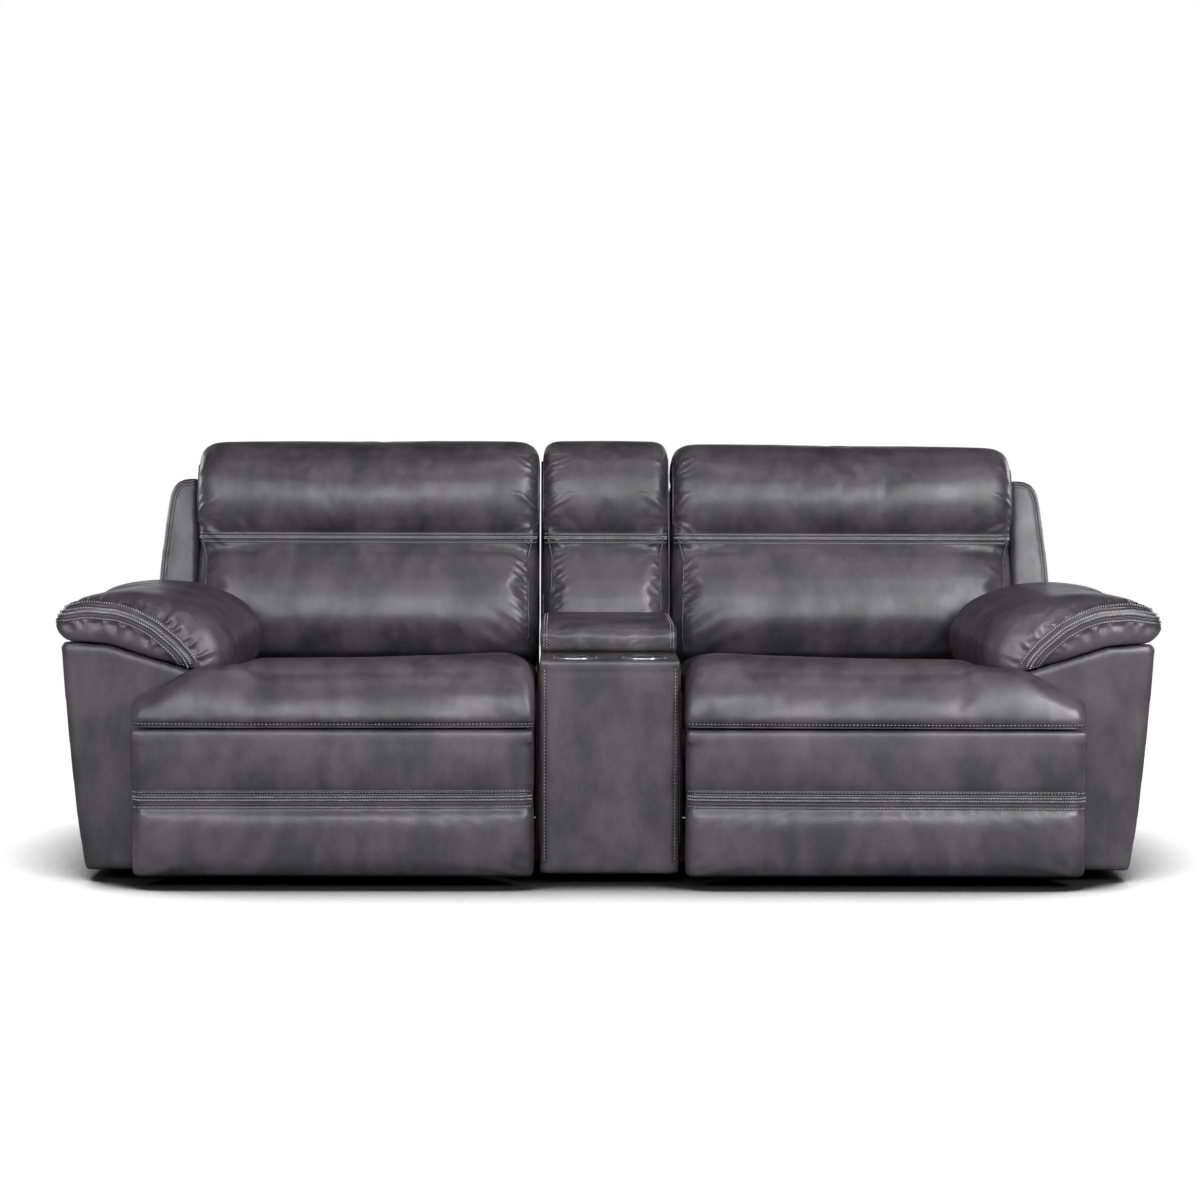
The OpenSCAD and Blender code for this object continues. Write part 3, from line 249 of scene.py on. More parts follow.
# Moulded plastic. Glides, release recesses, paddles, cable sheaths and the bin's tray, with a fine spark texture.
spark_texture = surface_effect("spark_texture", (14.0, 4.0), (900.0, 2.0), (0.010, 0.010, 0.011),
                               (0.022, 0.022, 0.024), (0.45, 0.6))
wear(finish("black_plastic", spark_texture, 0.3, 0.0002), "glides", "release_bezels", "release_cables",
     "storage_liner", "release_handle_left", "release_handle_right")

# Cup holders. Two spun cups in bright chrome, with the faint rings of spinning and a little wear inside.
spun_chrome = surface_effect("spun_chrome", (1.0, 3.0), None, (0.62, 0.62, 0.63), (0.8, 0.8, 0.8), (0.08, 0.2),
                             stops=(0.0, 1.0), stretch=(6, 6, 700))
wear(finish("cup_chrome", spun_chrome, 0.05, 0.0002, metal=1.0), "cup_holders")

# Arm covers and rear panel. Padded boards under soft waxed leather, dark grey with lighter clouds where the
# wax has rubbed, drawn tight and stapled out of sight underneath. The leather of an arm is cut open behind its
# release recess.
waxed_hide = effect_group("waxed_hide")
for label, kind, value in (("Deep", "NodeSocketColor", (0.024, 0.023, 0.025, 1)),
                           ("Rubbed", "NodeSocketColor", (0.049, 0.046, 0.050, 1)),
                           ("Crease", "NodeSocketFloat", 0.0)):
    waxed_hide.interface.new_socket(name=label, in_out="INPUT", socket_type=kind).default_value = value
hn, hl = waxed_hide.nodes, waxed_hide.links
hide_in, hide_out = hn.new("NodeGroupInput"), hn.new("NodeGroupOutput")
hide_at = hn.new("ShaderNodeTexCoord")
hide_stretch = hn.new("ShaderNodeMapping"); hide_stretch.inputs["Scale"].default_value = (1.0, 1.0, 0.62)
clouds = noise(hn, 11.0, 4.0); clouds.inputs["Roughness"].default_value = 0.55
rubs = noise(hn, 30.0, 3.0)
mottle = hn.new("ShaderNodeMath"); mottle.operation = "MULTIPLY_ADD"; mottle.inputs[1].default_value = 0.35
spread = map_range(hn, (0.0, 1.0), (0.45, 0.92)); spread.interpolation_type = "SMOOTHSTEP"
tone = hn.new("ShaderNodeMix"); tone.data_type = "RGBA"
pores = noise(hn, 650.0, 2.0)
pore_tone = map_range(hn, (0.90, 1.10), (0.3, 0.7))
# Painted shade: the crease attribute darkens the colour along pressed-in seams and gathers.
crease_shade_tone = map_range(hn, (1.0, 0.45))
dim = hn.new("ShaderNodeMath"); dim.operation = "MULTIPLY"
shade = hn.new("ShaderNodeVectorMath"); shade.operation = "SCALE"
gloss = map_range(hn, (0.42, 0.33))
pebbles = hn.new("ShaderNodeTexVoronoi"); pebbles.inputs["Scale"].default_value = 700.0
grain = hn.new("ShaderNodeMath"); grain.operation = "ADD"
hl.new(hide_at.outputs["Object"], hide_stretch.inputs["Vector"])
hl.new(hide_stretch.outputs["Vector"], clouds.inputs["Vector"])
hl.new(hide_stretch.outputs["Vector"], rubs.inputs["Vector"])
hl.new(rubs.outputs["Fac"], mottle.inputs[0])
hl.new(clouds.outputs["Fac"], mottle.inputs[2])
hl.new(mottle.outputs[0], spread.inputs["Value"])
hl.new(spread.outputs["Result"], tone.inputs["Factor"])
hl.new(hide_in.outputs["Deep"], tone.inputs["A"])
hl.new(hide_in.outputs["Rubbed"], tone.inputs["B"])
hl.new(hide_at.outputs["Object"], pores.inputs["Vector"])
hl.new(pores.outputs["Fac"], pore_tone.inputs["Value"])
hl.new(hide_in.outputs["Crease"], crease_shade_tone.inputs["Value"])
hl.new(pore_tone.outputs["Result"], dim.inputs[0])
hl.new(crease_shade_tone.outputs["Result"], dim.inputs[1])
hl.new(tone.outputs["Result"], shade.inputs[0])
hl.new(dim.outputs[0], shade.inputs["Scale"])
hl.new(shade.outputs[0], hide_out.inputs["Color"])
hl.new(spread.outputs["Result"], gloss.inputs["Value"])
hl.new(gloss.outputs["Result"], hide_out.inputs["Roughness"])
hl.new(hide_at.outputs["Object"], pebbles.inputs["Vector"])
hl.new(pebbles.outputs["Distance"], grain.inputs[0])
hl.new(pores.outputs["Fac"], grain.inputs[1])
hl.new(grain.outputs[0], hide_out.inputs["Height"])


def leather(name, deep, rubbed):
    """Waxed leather between two tones. A piece's crease attribute darkens it along its seams: painted shade in the
    pressed-in seams.
    """
    m = finish(name, waxed_hide, 0.22, 0.0005, gloss=0.34)
    n, l = m.node_tree.nodes, m.node_tree.links
    source = n["Group"]
    source.inputs["Deep"].default_value, source.inputs["Rubbed"].default_value = (*deep, 1), (*rubbed, 1)
    creased = n.new("ShaderNodeAttribute"); creased.attribute_name = "crease"
    l.new(creased.outputs["Fac"], source.inputs["Crease"])
    return m


hide = leather("grey_leather", (0.0165, 0.0155, 0.0171), (0.0480, 0.0452, 0.0495))


def bake(piece):
    """Applies a piece's modifiers to its mesh."""
    mesh = bpy.data.meshes.new_from_object(piece.evaluated_get(bpy.context.evaluated_depsgraph_get()))
    piece.modifiers.clear()
    old, piece.data = piece.data, mesh
    mesh.name = piece.name
    bpy.data.meshes.remove(old)


def soften(piece, rounds):
    """Evens out a piece's surface, a little more with each round."""
    bm = bmesh.new()
    bm.from_mesh(piece.data)
    for _ in range(rounds):
        bmesh.ops.smooth_vert(bm, verts=bm.verts, factor=0.5, use_axis_x=True, use_axis_y=True, use_axis_z=True)
    bm.to_mesh(piece.data); bm.free()


def skin(name, nodes, cell, rounds, stuffing=()):
    """One leather skin over the named nodes and any blocks of stuffing between them, with rounded edges. Its points
    lie a cell apart."""
    bm = bmesh.new()
    for node in nodes:
        bm.from_mesh(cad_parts[node].data)
    for filling in stuffing:
        bmesh.ops.create_cube(bm, size=1, matrix=filling)
    bmesh.ops.remove_doubles(bm, verts=bm.verts, dist=1e-5)
    piece = add_piece(name, bm)
    even = piece.modifiers.new("even", "REMESH")
    even.mode, even.voxel_size = "VOXEL", cell
    bake(piece)
    soften(piece, rounds)
    return piece


def dress(piece, body, nodes, material):
    """Puts a finished skin on its body in place of its nodes."""
    piece.data.materials.clear()
    piece.data.materials.append(material)
    piece.data.shade_smooth()
    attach(piece, body)
    if nodes:
        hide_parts(*nodes)


def mirrored(piece, name):
    """The left-hand copy of a right-hand piece."""
    bm = bmesh.new()
    bm.from_mesh(piece.data)
    bmesh.ops.scale(bm, vec=(-1, 1, 1), verts=bm.verts)
    bmesh.ops.reverse_faces(bm, faces=bm.faces)
    return add_piece(name, bm)


dress(skin("rear_cover", ["rear_panel"], 0.007, 1), "root", ["rear_panel"], hide)
arm_right = skin("arm_right", ["arm_cover_right"], 0.007, 2)
tub = np.array([v.co[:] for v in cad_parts["release_bezels"].data.vertices if v.co.x > 0])
deeper, proud, lap = 0.006, 0.01, 0.009
low, high = tub.min(0) + (-deeper, lap, lap), tub.max(0) + (proud, -lap, -lap)
bm = bmesh.new()
bm.from_mesh(arm_right.data)
behind = [f for f in bm.faces if all(a < c < b for a, c, b in zip(low, f.calc_center_median(), high))]
bmesh.ops.delete(bm, geom=behind, context="FACES")
bm.to_mesh(arm_right.data); bm.free()
arm_left = mirrored(arm_right, "arm_left")
dress(arm_right, "root", ["arm_cover_right"], hide)
dress(arm_left, "root", ["arm_cover_left"], hide)

# Arm pads. Thick fibre-filled pads in a slightly redder copy of the leather. It is lighter in its deep tone, as a
# painted highlight on the pads' tops. A sewn band runs over the front end and back along the outer side, and the
# leather is gathered into it, so it puckers above and below.


def places(piece, what="co"):
    """The places of a piece's points, or their normals, a row for each."""
    out = np.zeros(len(piece.data.vertices) * 3, np.float32)
    piece.data.vertices.foreach_get(what, out)
    return out.reshape(-1, 3).astype(float)


def move(piece, co):
    """Puts a piece's points at new places."""
    piece.data.vertices.foreach_set("co", co.astype(np.float32).ravel())
    piece.data.update()


def swell(piece, held, pressure=3.0, growth=0.01, cap=0.008, give=(1, 1, 1), frames=16):
    """Blows the cover up over its filling while the held points stay put, never further than the cap."""
    rest = places(piece)
    pins = piece.vertex_groups.new(name="held")
    pins.add([int(i) for i in np.nonzero(held)[0]], 1.0, "REPLACE")
    cloth = piece.modifiers.new("cloth", "CLOTH")
    cloth.point_cache.frame_start, cloth.point_cache.frame_end = 1, frames
    put = cloth.settings
    put.quality, put.mass = 5, 0.4
    put.tension_stiffness = put.compression_stiffness = 15
    put.shear_stiffness, put.bending_stiffness = 6, 1.5
    put.use_pressure, put.uniform_pressure_force = True, pressure
    put.shrink_min = -growth
    put.effector_weights.gravity = 0
    put.vertex_group_mass = "held"
    for f in range(1, frames + 1):
        scene.frame_set(f)
    puffed = piece.evaluated_get(bpy.context.evaluated_depsgraph_get())
    co = np.zeros(len(rest) * 3, np.float32)
    puffed.data.vertices.foreach_get("co", co)
    piece.modifiers.remove(cloth)
    piece.vertex_groups.clear()
    scene.frame_set(1)
    shift = co.reshape(-1, 3) - rest
    size = np.linalg.norm(shift, axis=1)[:, None] + 1e-9
    move(piece, rest + shift / size * cap * np.tanh(size / cap) * np.array(give))


def refine(piece):
    """Divides each face of a piece in four and rounds the surface."""
    finer = piece.modifiers.new("finer", "SUBSURF")
    finer.levels = finer.render_levels = 1
    bake(piece)


def surface(piece):
    """A piece's surface as it is now, to drop lines onto."""
    return BVHTree.FromObject(piece, bpy.context.evaluated_depsgraph_get())


def ease(line, rounds):
    """Draws the inner points of a line towards their neighbours."""
    for _ in range(rounds):
        line[1:-1] = (line[:-2] + 2 * line[1:-1] + line[2:]) / 4


def distances(line):
    """How far along a line each of its points lies."""
    return np.concatenate([[0], np.cumsum(np.linalg.norm(np.diff(line, axis=0), axis=1))])


def settle(tree, line, normal):
    """Drops a line onto the leather against the given outward ways: its places and the leather's normals."""
    above, fall = 0.03, 0.08
    on, face = [], []
    for p, n in zip(line, normal):
        hit = tree.ray_cast(Vector(p + n * above), Vector(-n), fall)
        if hit[0] is None:
            hit = tree.find_nearest(Vector(p))
        on.append(hit[0])
        face.append(hit[1])
    on, face = np.array(on), np.array(face)
    ease(face, 6)
    return on, face / (np.linalg.norm(face, axis=1)[:, None] + 1e-9)


def lay(tree, points, side=1, out=((0, -1, 0),)):
    """A seam laid on the leather at the given points of a right-hand piece: places, outward ways, directions.
    It is dropped against the outward ways, one for each point or one for all, and always runs so that a positive
    distance across it is below it, or outside it."""
    step = 0.003
    out = out if len(out) == len(points) else out[:1] * len(points)
    line = np.array([(side * x, y, z) for x, y, z in points][::side], float)
    ways = np.array([(side * x, y, z) for x, y, z in out][::side], float)
    run = distances(line)
    at = np.linspace(0, run[-1], max(3, int(run[-1] / step)))
    line = np.stack([np.interp(at, run, line[:, k]) for k in range(3)], 1)
    ways = np.stack([np.interp(at, run, ways[:, k]) for k in range(3)], 1)
    ease(line, 8)
    ease(ways, 8)
    ways /= np.linalg.norm(ways, axis=1)[:, None]
    along = np.gradient(line, axis=0)
    along /= np.linalg.norm(along, axis=1)[:, None]
    return settle(tree, line, ways)[0], ways, along


def beside(tree, seam, across, lift=0.0):
    """A line beside a seam, dropped on the leather again and lifted off it. Both distances in millimetres."""
    on, ways, along = seam
    line, face = settle(tree, on + np.cross(along, ways) * across / 1000, ways)
    line = line + face * lift / 1000
    ease(line, 2)
    return line, ways, along


def near(co, seam, reach):
    """The points within reach of a seam, the nearest place on it for each, and how far off they are."""
    on = seam[0]
    pick = np.nonzero(((co > on.min(0) - reach) & (co < on.max(0) + reach)).all(1))[0]
    index, far = np.zeros(len(pick), int), np.zeros(len(pick))
    batch = 4000
    for i in range(0, len(pick), batch):
        d = np.linalg.norm(co[pick[i:i + batch], None] - on[None], axis=2)
        index[i:i + batch], far[i:i + batch] = d.argmin(1), d.min(1)
    keep = far < reach
    return pick[keep], index[keep], far[keep]


def hold(co, seam, width):
    """The points along a seam, and how strongly it holds each: fully on it, hardly at all beyond its width in
    millimetres."""
    pick, _, far = near(co, seam, 2.6 * width / 1000)
    return pick, np.exp(-(far / width * 1000) ** 2)


def press(piece, seam, depth, width):
    """Draws the leather in along a seam. Depth and width in millimetres."""
    co, out = places(piece), places(piece, "normal")
    pick, pull = hold(co, seam, width)
    co[pick] -= out[pick] * (depth / 1000 * pull)[:, None]
    move(piece, co)


def crease(piece, seam, width, amount):
    """Darkens the leather along a seam: painted shade where the seam is pressed in."""
    mesh = piece.data
    mark = mesh.attributes.get("crease") or mesh.attributes.new("crease", "FLOAT", "POINT")
    value = np.zeros(len(mesh.vertices), np.float32)
    mark.data.foreach_get("value", value)
    pick, pull = hold(places(piece), seam, width)
    value[pick] = np.maximum(value[pick], amount * pull)
    mark.data.foreach_set("value", value)


def pucker(piece, seam, below, reach, height, spacing, seed, lean=0, draw=0.4):
    """Folds that start at a seam and die away over the leather above it (-1) or below it (1).
    Reach, height and spacing in millimetres; draw is how far the leather between them is pulled in."""
    rng = np.random.default_rng(seed)
    on, normal, along = seam
    run = distances(on)
    count = max(1, int(run[-1] * 1000 / spacing))
    start = (np.arange(count) + 0.5 + rng.uniform(-0.3, 0.3, count)) * run[-1] / count
    long = reach / 1000 * rng.uniform(0.35, 1.0, count)
    tall = height / 1000 * rng.uniform(0.45, 1.0, count)
    wide = spacing / 1000 * rng.uniform(0.17, 0.3, count)
    turn = np.tan(np.radians(lean + rng.uniform(-14, 14, count)))
    co, out = places(piece), places(piece, "normal")
    pick, index, far = near(co, seam, reach / 1000)
    off = co[pick] - on[index]
    across = (off * np.cross(along, normal)[index]).sum(1) * below
    u = run[index] + (off * along[index]).sum(1)
    ok = (across > -0.001) & ((out[pick] * normal[index]).sum(1) > -0.1) & (u > -0.01) & (u < run[-1] + 0.01)
    pick, far, u = pick[ok], far[ok], u[ok]
    push = np.zeros(len(pick))
    for s, l, h, w, t in zip(start, long, tall, wide, turn):
        v = far / l
        ridge = np.exp(-((u - s - far * t) / (w * (0.75 + 0.8 * v))) ** 2)
        push = np.maximum(push, h * ridge * np.clip(1 - v, 0, 1) ** 1.4)
    push -= draw * height / 1000 * np.exp(-(far / (0.4 * reach / 1000)) ** 2)
    co[pick] += out[pick] * (push * np.clip((far + 0.001) / 0.004, 0, 1))[:, None]
    move(piece, co)


def on_body(piece, material, body):
    """Gives a new trim piece its material and lets it ride with the leather it is sewn to."""
    piece.data.materials.append(material)
    piece.data.shade_smooth()
    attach(piece, body)


def strip(name, tree, seam, profile, material, body):
    """A sewn leather strip along a seam. Its profile is distance across and height, in millimetres, and its ends
    turn down into the leather."""
    count, turn_down = len(seam[0]), 1.5
    from_end = np.minimum(np.arange(count), np.arange(count)[::-1])
    fall = np.clip(turn_down - from_end * 0.5, 0, turn_down)
    lines = []
    for across, lift in profile:
        line, ways, _ = beside(tree, seam, across, lift)
        lines.append(line - ways * fall[:, None] / 1000)
    bm = bmesh.new()
    bmesh.ops.create_grid(bm, x_segments=count - 1, y_segments=len(profile) - 1, size=1)
    for v in bm.verts:
        i = (v.co.x + 1) / 2 * (count - 1)
        line = lines[round((v.co.y + 1) / 2 * (len(profile) - 1))]
        low = min(int(i + 1e-4), len(line) - 2)
        v.co = Vector(line[low] + (line[low + 1] - line[low]) * (i - low))
    bm.normal_update()
    if sum(f.normal.dot(Vector(seam[1][count // 2])) for f in bm.faces) < 0:
        bmesh.ops.reverse_faces(bm, faces=bm.faces)
    on_body(add_piece(name, bm), material, body)


def welt(name, line, radius, material, body):
    """A thin leather cord sewn into a seam. Radius in millimetres."""
    curve = bpy.data.curves.new(name, "CURVE")
    curve.dimensions, curve.bevel_depth, curve.bevel_resolution = "3D", radius / 1000, 2
    curve.use_fill_caps = True
    path = curve.splines.new("POLY")
    path.points.add(len(line[0]) - 1)
    path.points.foreach_set("co", np.hstack([line[0], np.ones((len(line[0]), 1))]).ravel())
    cord = bpy.data.objects.new(name, curve)
    mesh = bpy.data.meshes.new_from_object(cord)
    bpy.data.objects.remove(cord)
    mesh.name = name
    mesh.materials.clear()
    piece = bpy.data.objects.new(name, mesh)
    scene.collection.objects.link(piece)
    on_body(piece, material, body)


def sew(name, rows, material, body):
    """Stitches as short lengths of thread. Each row is a line, a pitch, a stitch's length and thickness in
    millimetres, and its slant to the line in degrees."""
    whole = bmesh.new()
    for (on, normal, along), pitch, length, thick, slant in rows:
        bm = bmesh.new()
        run = distances(on)
        for at in np.arange(pitch / 2000, run[-1], pitch / 1000):
            p, n, t = (Vector([float(np.interp(at, run, a[:, k])) for k in range(3)]) for a in (on, normal, along))
            n.normalize()
            t = Matrix.Rotation(math.radians(slant), 3, n) @ t.normalized()
            turn = Matrix((t, n.cross(t), n)).transposed().to_4x4()
            bmesh.ops.create_icosphere(bm, subdivisions=1, radius=0.0005, matrix=Matrix.Translation(p) @ turn
                                       @ Matrix.Diagonal((length, thick, thick, 1)))
        row = bpy.data.meshes.new("row")
        bm.to_mesh(row); bm.free()
        whole.from_mesh(row)
        bpy.data.meshes.remove(row)
    on_body(add_piece(name, whole), material, body)


waxed_thread = surface_effect("waxed_thread", (60.0, 3.0), (2200.0, 2.0), (0.15, 0.147, 0.15), (0.34, 0.335, 0.34),
                              (0.45, 0.6))
thread = finish("grey_thread", waxed_thread, 0.3, 0.0002)
# Near-black holes: painted shade in the stitch holes and in the groove where the stitches sink into the leather.
stitch_shade = finish("stitch_shade_holes", spark_texture, 0.2, 0.0001, gloss=0.2)
# A slightly redder copy of the leather, lighter in its deep tone: painted highlight on the arm pads' tops.
pad_highlight_hide = leather("arm_pad_highlight_leather", (0.0230, 0.0208, 0.0252), (0.0480, 0.0435, 0.0520))
band_hide = leather("band_leather", (0.0140, 0.0131, 0.0147), (0.0300, 0.0282, 0.0312))

arm_pad = skin("arm_pillow_right", ["arm_pad_right"], 0.007, 5)
co, out = places(arm_pad), places(arm_pad, "normal")
pad_path = [(0.849, -0.40, 0.445), (0.860, -0.40, 0.463), (0.882, -0.41, 0.489), (0.923, -0.41, 0.523),
            (0.960, -0.41, 0.543), (0.996, -0.41, 0.555), (1.060, -0.41, 0.560), (1.104, -0.40, 0.552),
            (1.124, -0.37, 0.546), (1.126, -0.33, 0.544), (1.126, -0.10, 0.540), (1.120, 0.095, 0.530)]
pad_ways = [(-0.35, -1, 0), (-0.25, -1, 0), (-0.1, -1, 0.1), (0, -1, 0.1), (0, -1, 0.15), (0, -1, 0.15),
            (0.1, -1, 0.1), (0.5, -0.9, 0.1), (1, -0.6, 0.1), (1, -0.1, 0.1), (1, 0, 0.1), (1, 0, 0.1)]
pad_seam = lay(surface(arm_pad), pad_path, 1, pad_ways)
held = (out[:, 2] < -0.35) | (co[:, 1] > 0.09)
held[near(co, pad_seam, 0.022)[0]] = True
swell(arm_pad, held, pressure=3.0, growth=0.012, cap=0.007, give=(0.6, 0.9, 0.9))
refine(arm_pad)
pad_profile = [(-1.5, -1.5), (0, 0.6), (3, 1.2), (6, 1.2), (8, 0.7), (9, -1.6), (10, 0.8), (12, 1.7), (15, 2.4),
               (18.3, 1.3), (22, 2.4), (25, 1.4), (26.2, 0.6), (27, -1.6), (28, 0.8), (29.2, 2.1), (30.2, 2.6),
               (31.2, 2.0), (32.3, 0.5), (33.2, 0.9), (35, 1.2), (37, 0.8), (38.5, -1.5)]
for side, name, seed in ((1, "right", 11), (-1, "left", 23)):
    pad = arm_pad if side > 0 else mirrored(arm_pad, "arm_pillow_left")
    center = lay(surface(pad), pad_path, side, pad_ways)
    press(pad, center, 1.5, 20)
    tree = surface(pad)
    center = lay(tree, pad_path, side, pad_ways)
    top, edge, foot = beside(tree, center, -21), beside(tree, center, -18), beside(tree, center, 22)
    pucker(pad, top, -1, 60, 5.0, 23, seed, draw=0.3)
    pucker(pad, foot, 1, 42, 5.0, 34, seed + 1, draw=0.4)
    crease(pad, top, 7, 0.6)
    crease(pad, foot, 9, 0.8)
    dress(pad, "root", [f"arm_pad_{name}"], pad_highlight_hide)
    strip(f"arm_band_{name}", tree, edge, pad_profile, band_hide, "root")
    sew(f"arm_stitches_{name}", [
        (beside(tree, edge, 3, 1.6), 5.2, 6.2, 2.0, 82 * side), (beside(tree, edge, 15, 2.6), 5.2, 6.6, 2.1, 38),
        (beside(tree, edge, 22, 2.6), 5.2, 6.6, 2.1, -38), (beside(tree, edge, 35, 1.5), 6.2, 3.8, 1.7, 0)],
        thread, "root")

# Console. A box between the seats in one padded leather cover, which runs from the front over the deck, with the
# cup holes and the bin's mouth cut in it and a row of stitches up each side, and a padded lid with the leather drawn
# round its board.


def block(center, size):
    """A box as the matrix that makes it from a unit cube."""
    return Matrix.Translation(center) @ Matrix.Diagonal((*size, 1))


console_cover = skin("console_leather", ["console_front_pad", "console_deck"], 0.004, 6)
dress(console_cover, "root", ["console_front_pad", "console_deck"], hide)
lid = skin("lid_cushion", ["lid_pad"], 0.005, 3, [block((0, -0.0875, 0.4685), (0.284, 0.343, 0.013))])
co, out = places(lid), places(lid, "normal")
swell(lid, (co[:, 2] < 0.472) | (co[:, 1] > 0.085), pressure=2.5, growth=0.015, cap=0.004, give=(0.3, 0.5, 1))
lid_path = [(0.132, -0.262, 0.470), (0.132, -0.262, 0.500), (0.132, -0.24, 0.525), (0.132, -0.2, 0.525),
            (0.132, 0.05, 0.525)]
lid_ways = [(0, -1, 0), (0, -1, 0), (0, -0.7, 0.7), (0, 0, 1), (0, 0, 1)]
for side, name in ((1, "right"), (-1, "left")):
    seam = lay(surface(console_cover), [(0.132, -0.432, 0.445), (0.132, -0.432, 0.05)], side)
    press(console_cover, seam, 1.5, 4)
    crease(console_cover, seam, 4, 0.8)
    sew(f"console_stitches_{name}", [(beside(surface(console_cover), seam, 0, 0.4), 7, 4.0, 1.7, 0)], thread, "root")
    seam = lay(surface(lid), lid_path, side, lid_ways)
    press(lid, seam, 1.5, 5)
    crease(lid, seam, 5, 0.8)
    tree = surface(lid)
    seam = lay(tree, lid_path, side, lid_ways)
    sew(f"lid_stitches_{name}", [(beside(tree, seam, -3, 0.5), 6, 3.8, 1.7, 0),
                                 (beside(tree, seam, 3, 0.5), 6, 3.8, 1.7, 0)], thread, "lid")
dress(lid, "lid", ["lid_pad"], hide)

# Painted shade. Black boards fill the narrow gaps between the console and the seats and their backs, so that the gaps
# show dark. A strip of the same black cloth hangs from the rear board to just above the floor, so that no light from
# behind shows under the loveseat.
PIVOT_Y, PIVOT_Z, LEAN = 0.26, 0.30, math.radians(10)


def lean(x, deep, high):
    """A point on a back at its ten-degree lean, from its depth and height above the back's pivot."""
    c, s = math.cos(LEAN), math.sin(LEAN)
    return Vector((x, PIVOT_Y + deep * c + high * s, PIVOT_Z - deep * s + high * c))


def leaning_block(x, deep, high, size):
    """A box that leans with a back."""
    return Matrix.Translation(lean(x, deep, high)) @ Matrix.Rotation(-LEAN, 4, "X") @ Matrix.Diagonal((*size, 1))


def boards(name, blocks):
    """Thin stiff boards with their edges rounded a millimetre, as one piece."""
    bm = bmesh.new()
    for board in blocks:
        bmesh.ops.create_cube(bm, size=1, matrix=board)
    bmesh.ops.bevel(bm, geom=bm.edges[:], offset=0.001, segments=2, affect="EDGES", profile=0.5)
    return add_piece(name, bm)


# Black boards and a black strip that stand in for shade: painted shade in the gaps and under the rear board.
shade_card = finish("black_shade_card", spark_texture, 0.3, 0.0004, gloss=0.1)
for side, name in ((1, "right"), (-1, "left")):
    dress(boards(f"gap_shade_card_{name}", [leaning_block(side * 0.1445, 0.05, 0.285, (0.008, 0.06, 0.56)),
                                        block((side * 0.147, -0.03, 0.215), (0.006, 0.70, 0.35))]),
          "root", [], shade_card)
low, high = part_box("rear_panel")
inset, off_floor = 0.04, 0.008
dress(boards("rear_shade_strip", [block((0, (low[1] + high[1]) / 2, (low[2] + off_floor) / 2),
                                (high[0] - low[0] - inset, 0.006, low[2]))]), "root", [], shade_card)

# Seats. Deep foam blocks under one piece of leather each, with a full rolled nose over the footrest. The leather
# turns under the nose at a stitched seam with a thin welt, and steps down round the front of the arm.
seat = skin("seat_right", ["seat_cushion_right"], 0.008, 3)
co, out = places(seat), places(seat, "normal")
swell(seat, (co[:, 2] < 0.336) | (co[:, 1] > 0.12) | (out[:, 2] < -0.5), pressure=3.5, growth=0.008, cap=0.009,
      give=(0.25, 0.6, 1))
soften(seat, 3)
co = places(seat)
co[:, 1] += 0.24 * np.clip(co[:, 2] - 0.345, 0, 0.09) * np.clip((-0.40 - co[:, 1]) / 0.06, 0, 1)
move(seat, co)
refine(seat)
nose_path = [(0.156, -0.49, 0.3375), (0.40, -0.49, 0.3365), (0.70, -0.49, 0.336), (0.953, -0.49, 0.337)]
for side, name, seed in ((1, "right", 31), (-1, "left", 47)):
    cushion = seat if side > 0 else mirrored(seat, "seat_left")
    edge = lay(surface(cushion), nose_path, side)
    press(cushion, edge, 1.2, 4)
    crease(cushion, edge, 3, 0.8)
    pucker(cushion, edge, -1, 30, 1.2, 30, seed, draw=0.2)
    tree = surface(cushion)
    edge = lay(tree, nose_path, side)
    dress(cushion, f"{name}_seat", [f"seat_cushion_{name}"], hide)
    welt(f"seat_welt_{name}", beside(tree, edge, 6.5, 0.3), 1.8, hide, f"{name}_seat")
    # Painted shade: near-black lengths sunk under the nose stitches stand in for the dark of their holes and groove.
    sew(f"seat_stitch_shade_{name}", [(beside(tree, edge, 0.6, -0.1), 7.5, 5.4, 2.6, 24 * side)], stitch_shade, f"{name}_seat")
    sew(f"seat_stitches_{name}", [(beside(tree, edge, 0, 0.6), 7.5, 5.0, 1.6, 24 * side)], thread, f"{name}_seat")

# Footrests. Each is a padded board that hangs under the seat's nose when it is shut. A sewn band crosses it, with
# two braided rows between two plain ones and a thin welt under them.
foot = skin("footrest_right", ["foot_pad_right"], 0.006, 2,
            [block((0.556, -0.467, 0.312), (0.806, 0.042, 0.025))])
co, out = places(foot), places(foot, "normal")
band_path = [(0.158, -0.49, 0.186), (0.30, -0.49, 0.185), (0.60, -0.49, 0.184), (0.954, -0.49, 0.183)]
middle = lay(surface(foot), band_path)
held = (co[:, 1] > -0.452) | (co[:, 2] > 0.314)
held[near(co, middle, 0.024)[0]] = True
swell(foot, held, pressure=3.0, growth=0.003, cap=0.0035, give=(0.3, 1, 0.6))
soften(foot, 3)
refine(foot)
foot_profile = [(-4, -1.5), (-2.5, 0.6), (-1, 1.1), (0, 1.0), (2, 1.2), (3.2, 0.8), (4, -1.3), (4.8, 0.8),
                (6.5, 1.6), (10, 2.3), (13.5, 1.2), (17, 2.3), (20.5, 1.6), (22, -1.2), (23.2, 1.2), (24.5, 2.5),
                (25.8, 2.9), (27.1, 2.4), (28.3, 0.8), (29, -1.2), (30, 0.8), (32, 1.1), (34, 0.7), (35.5, -1.5)]
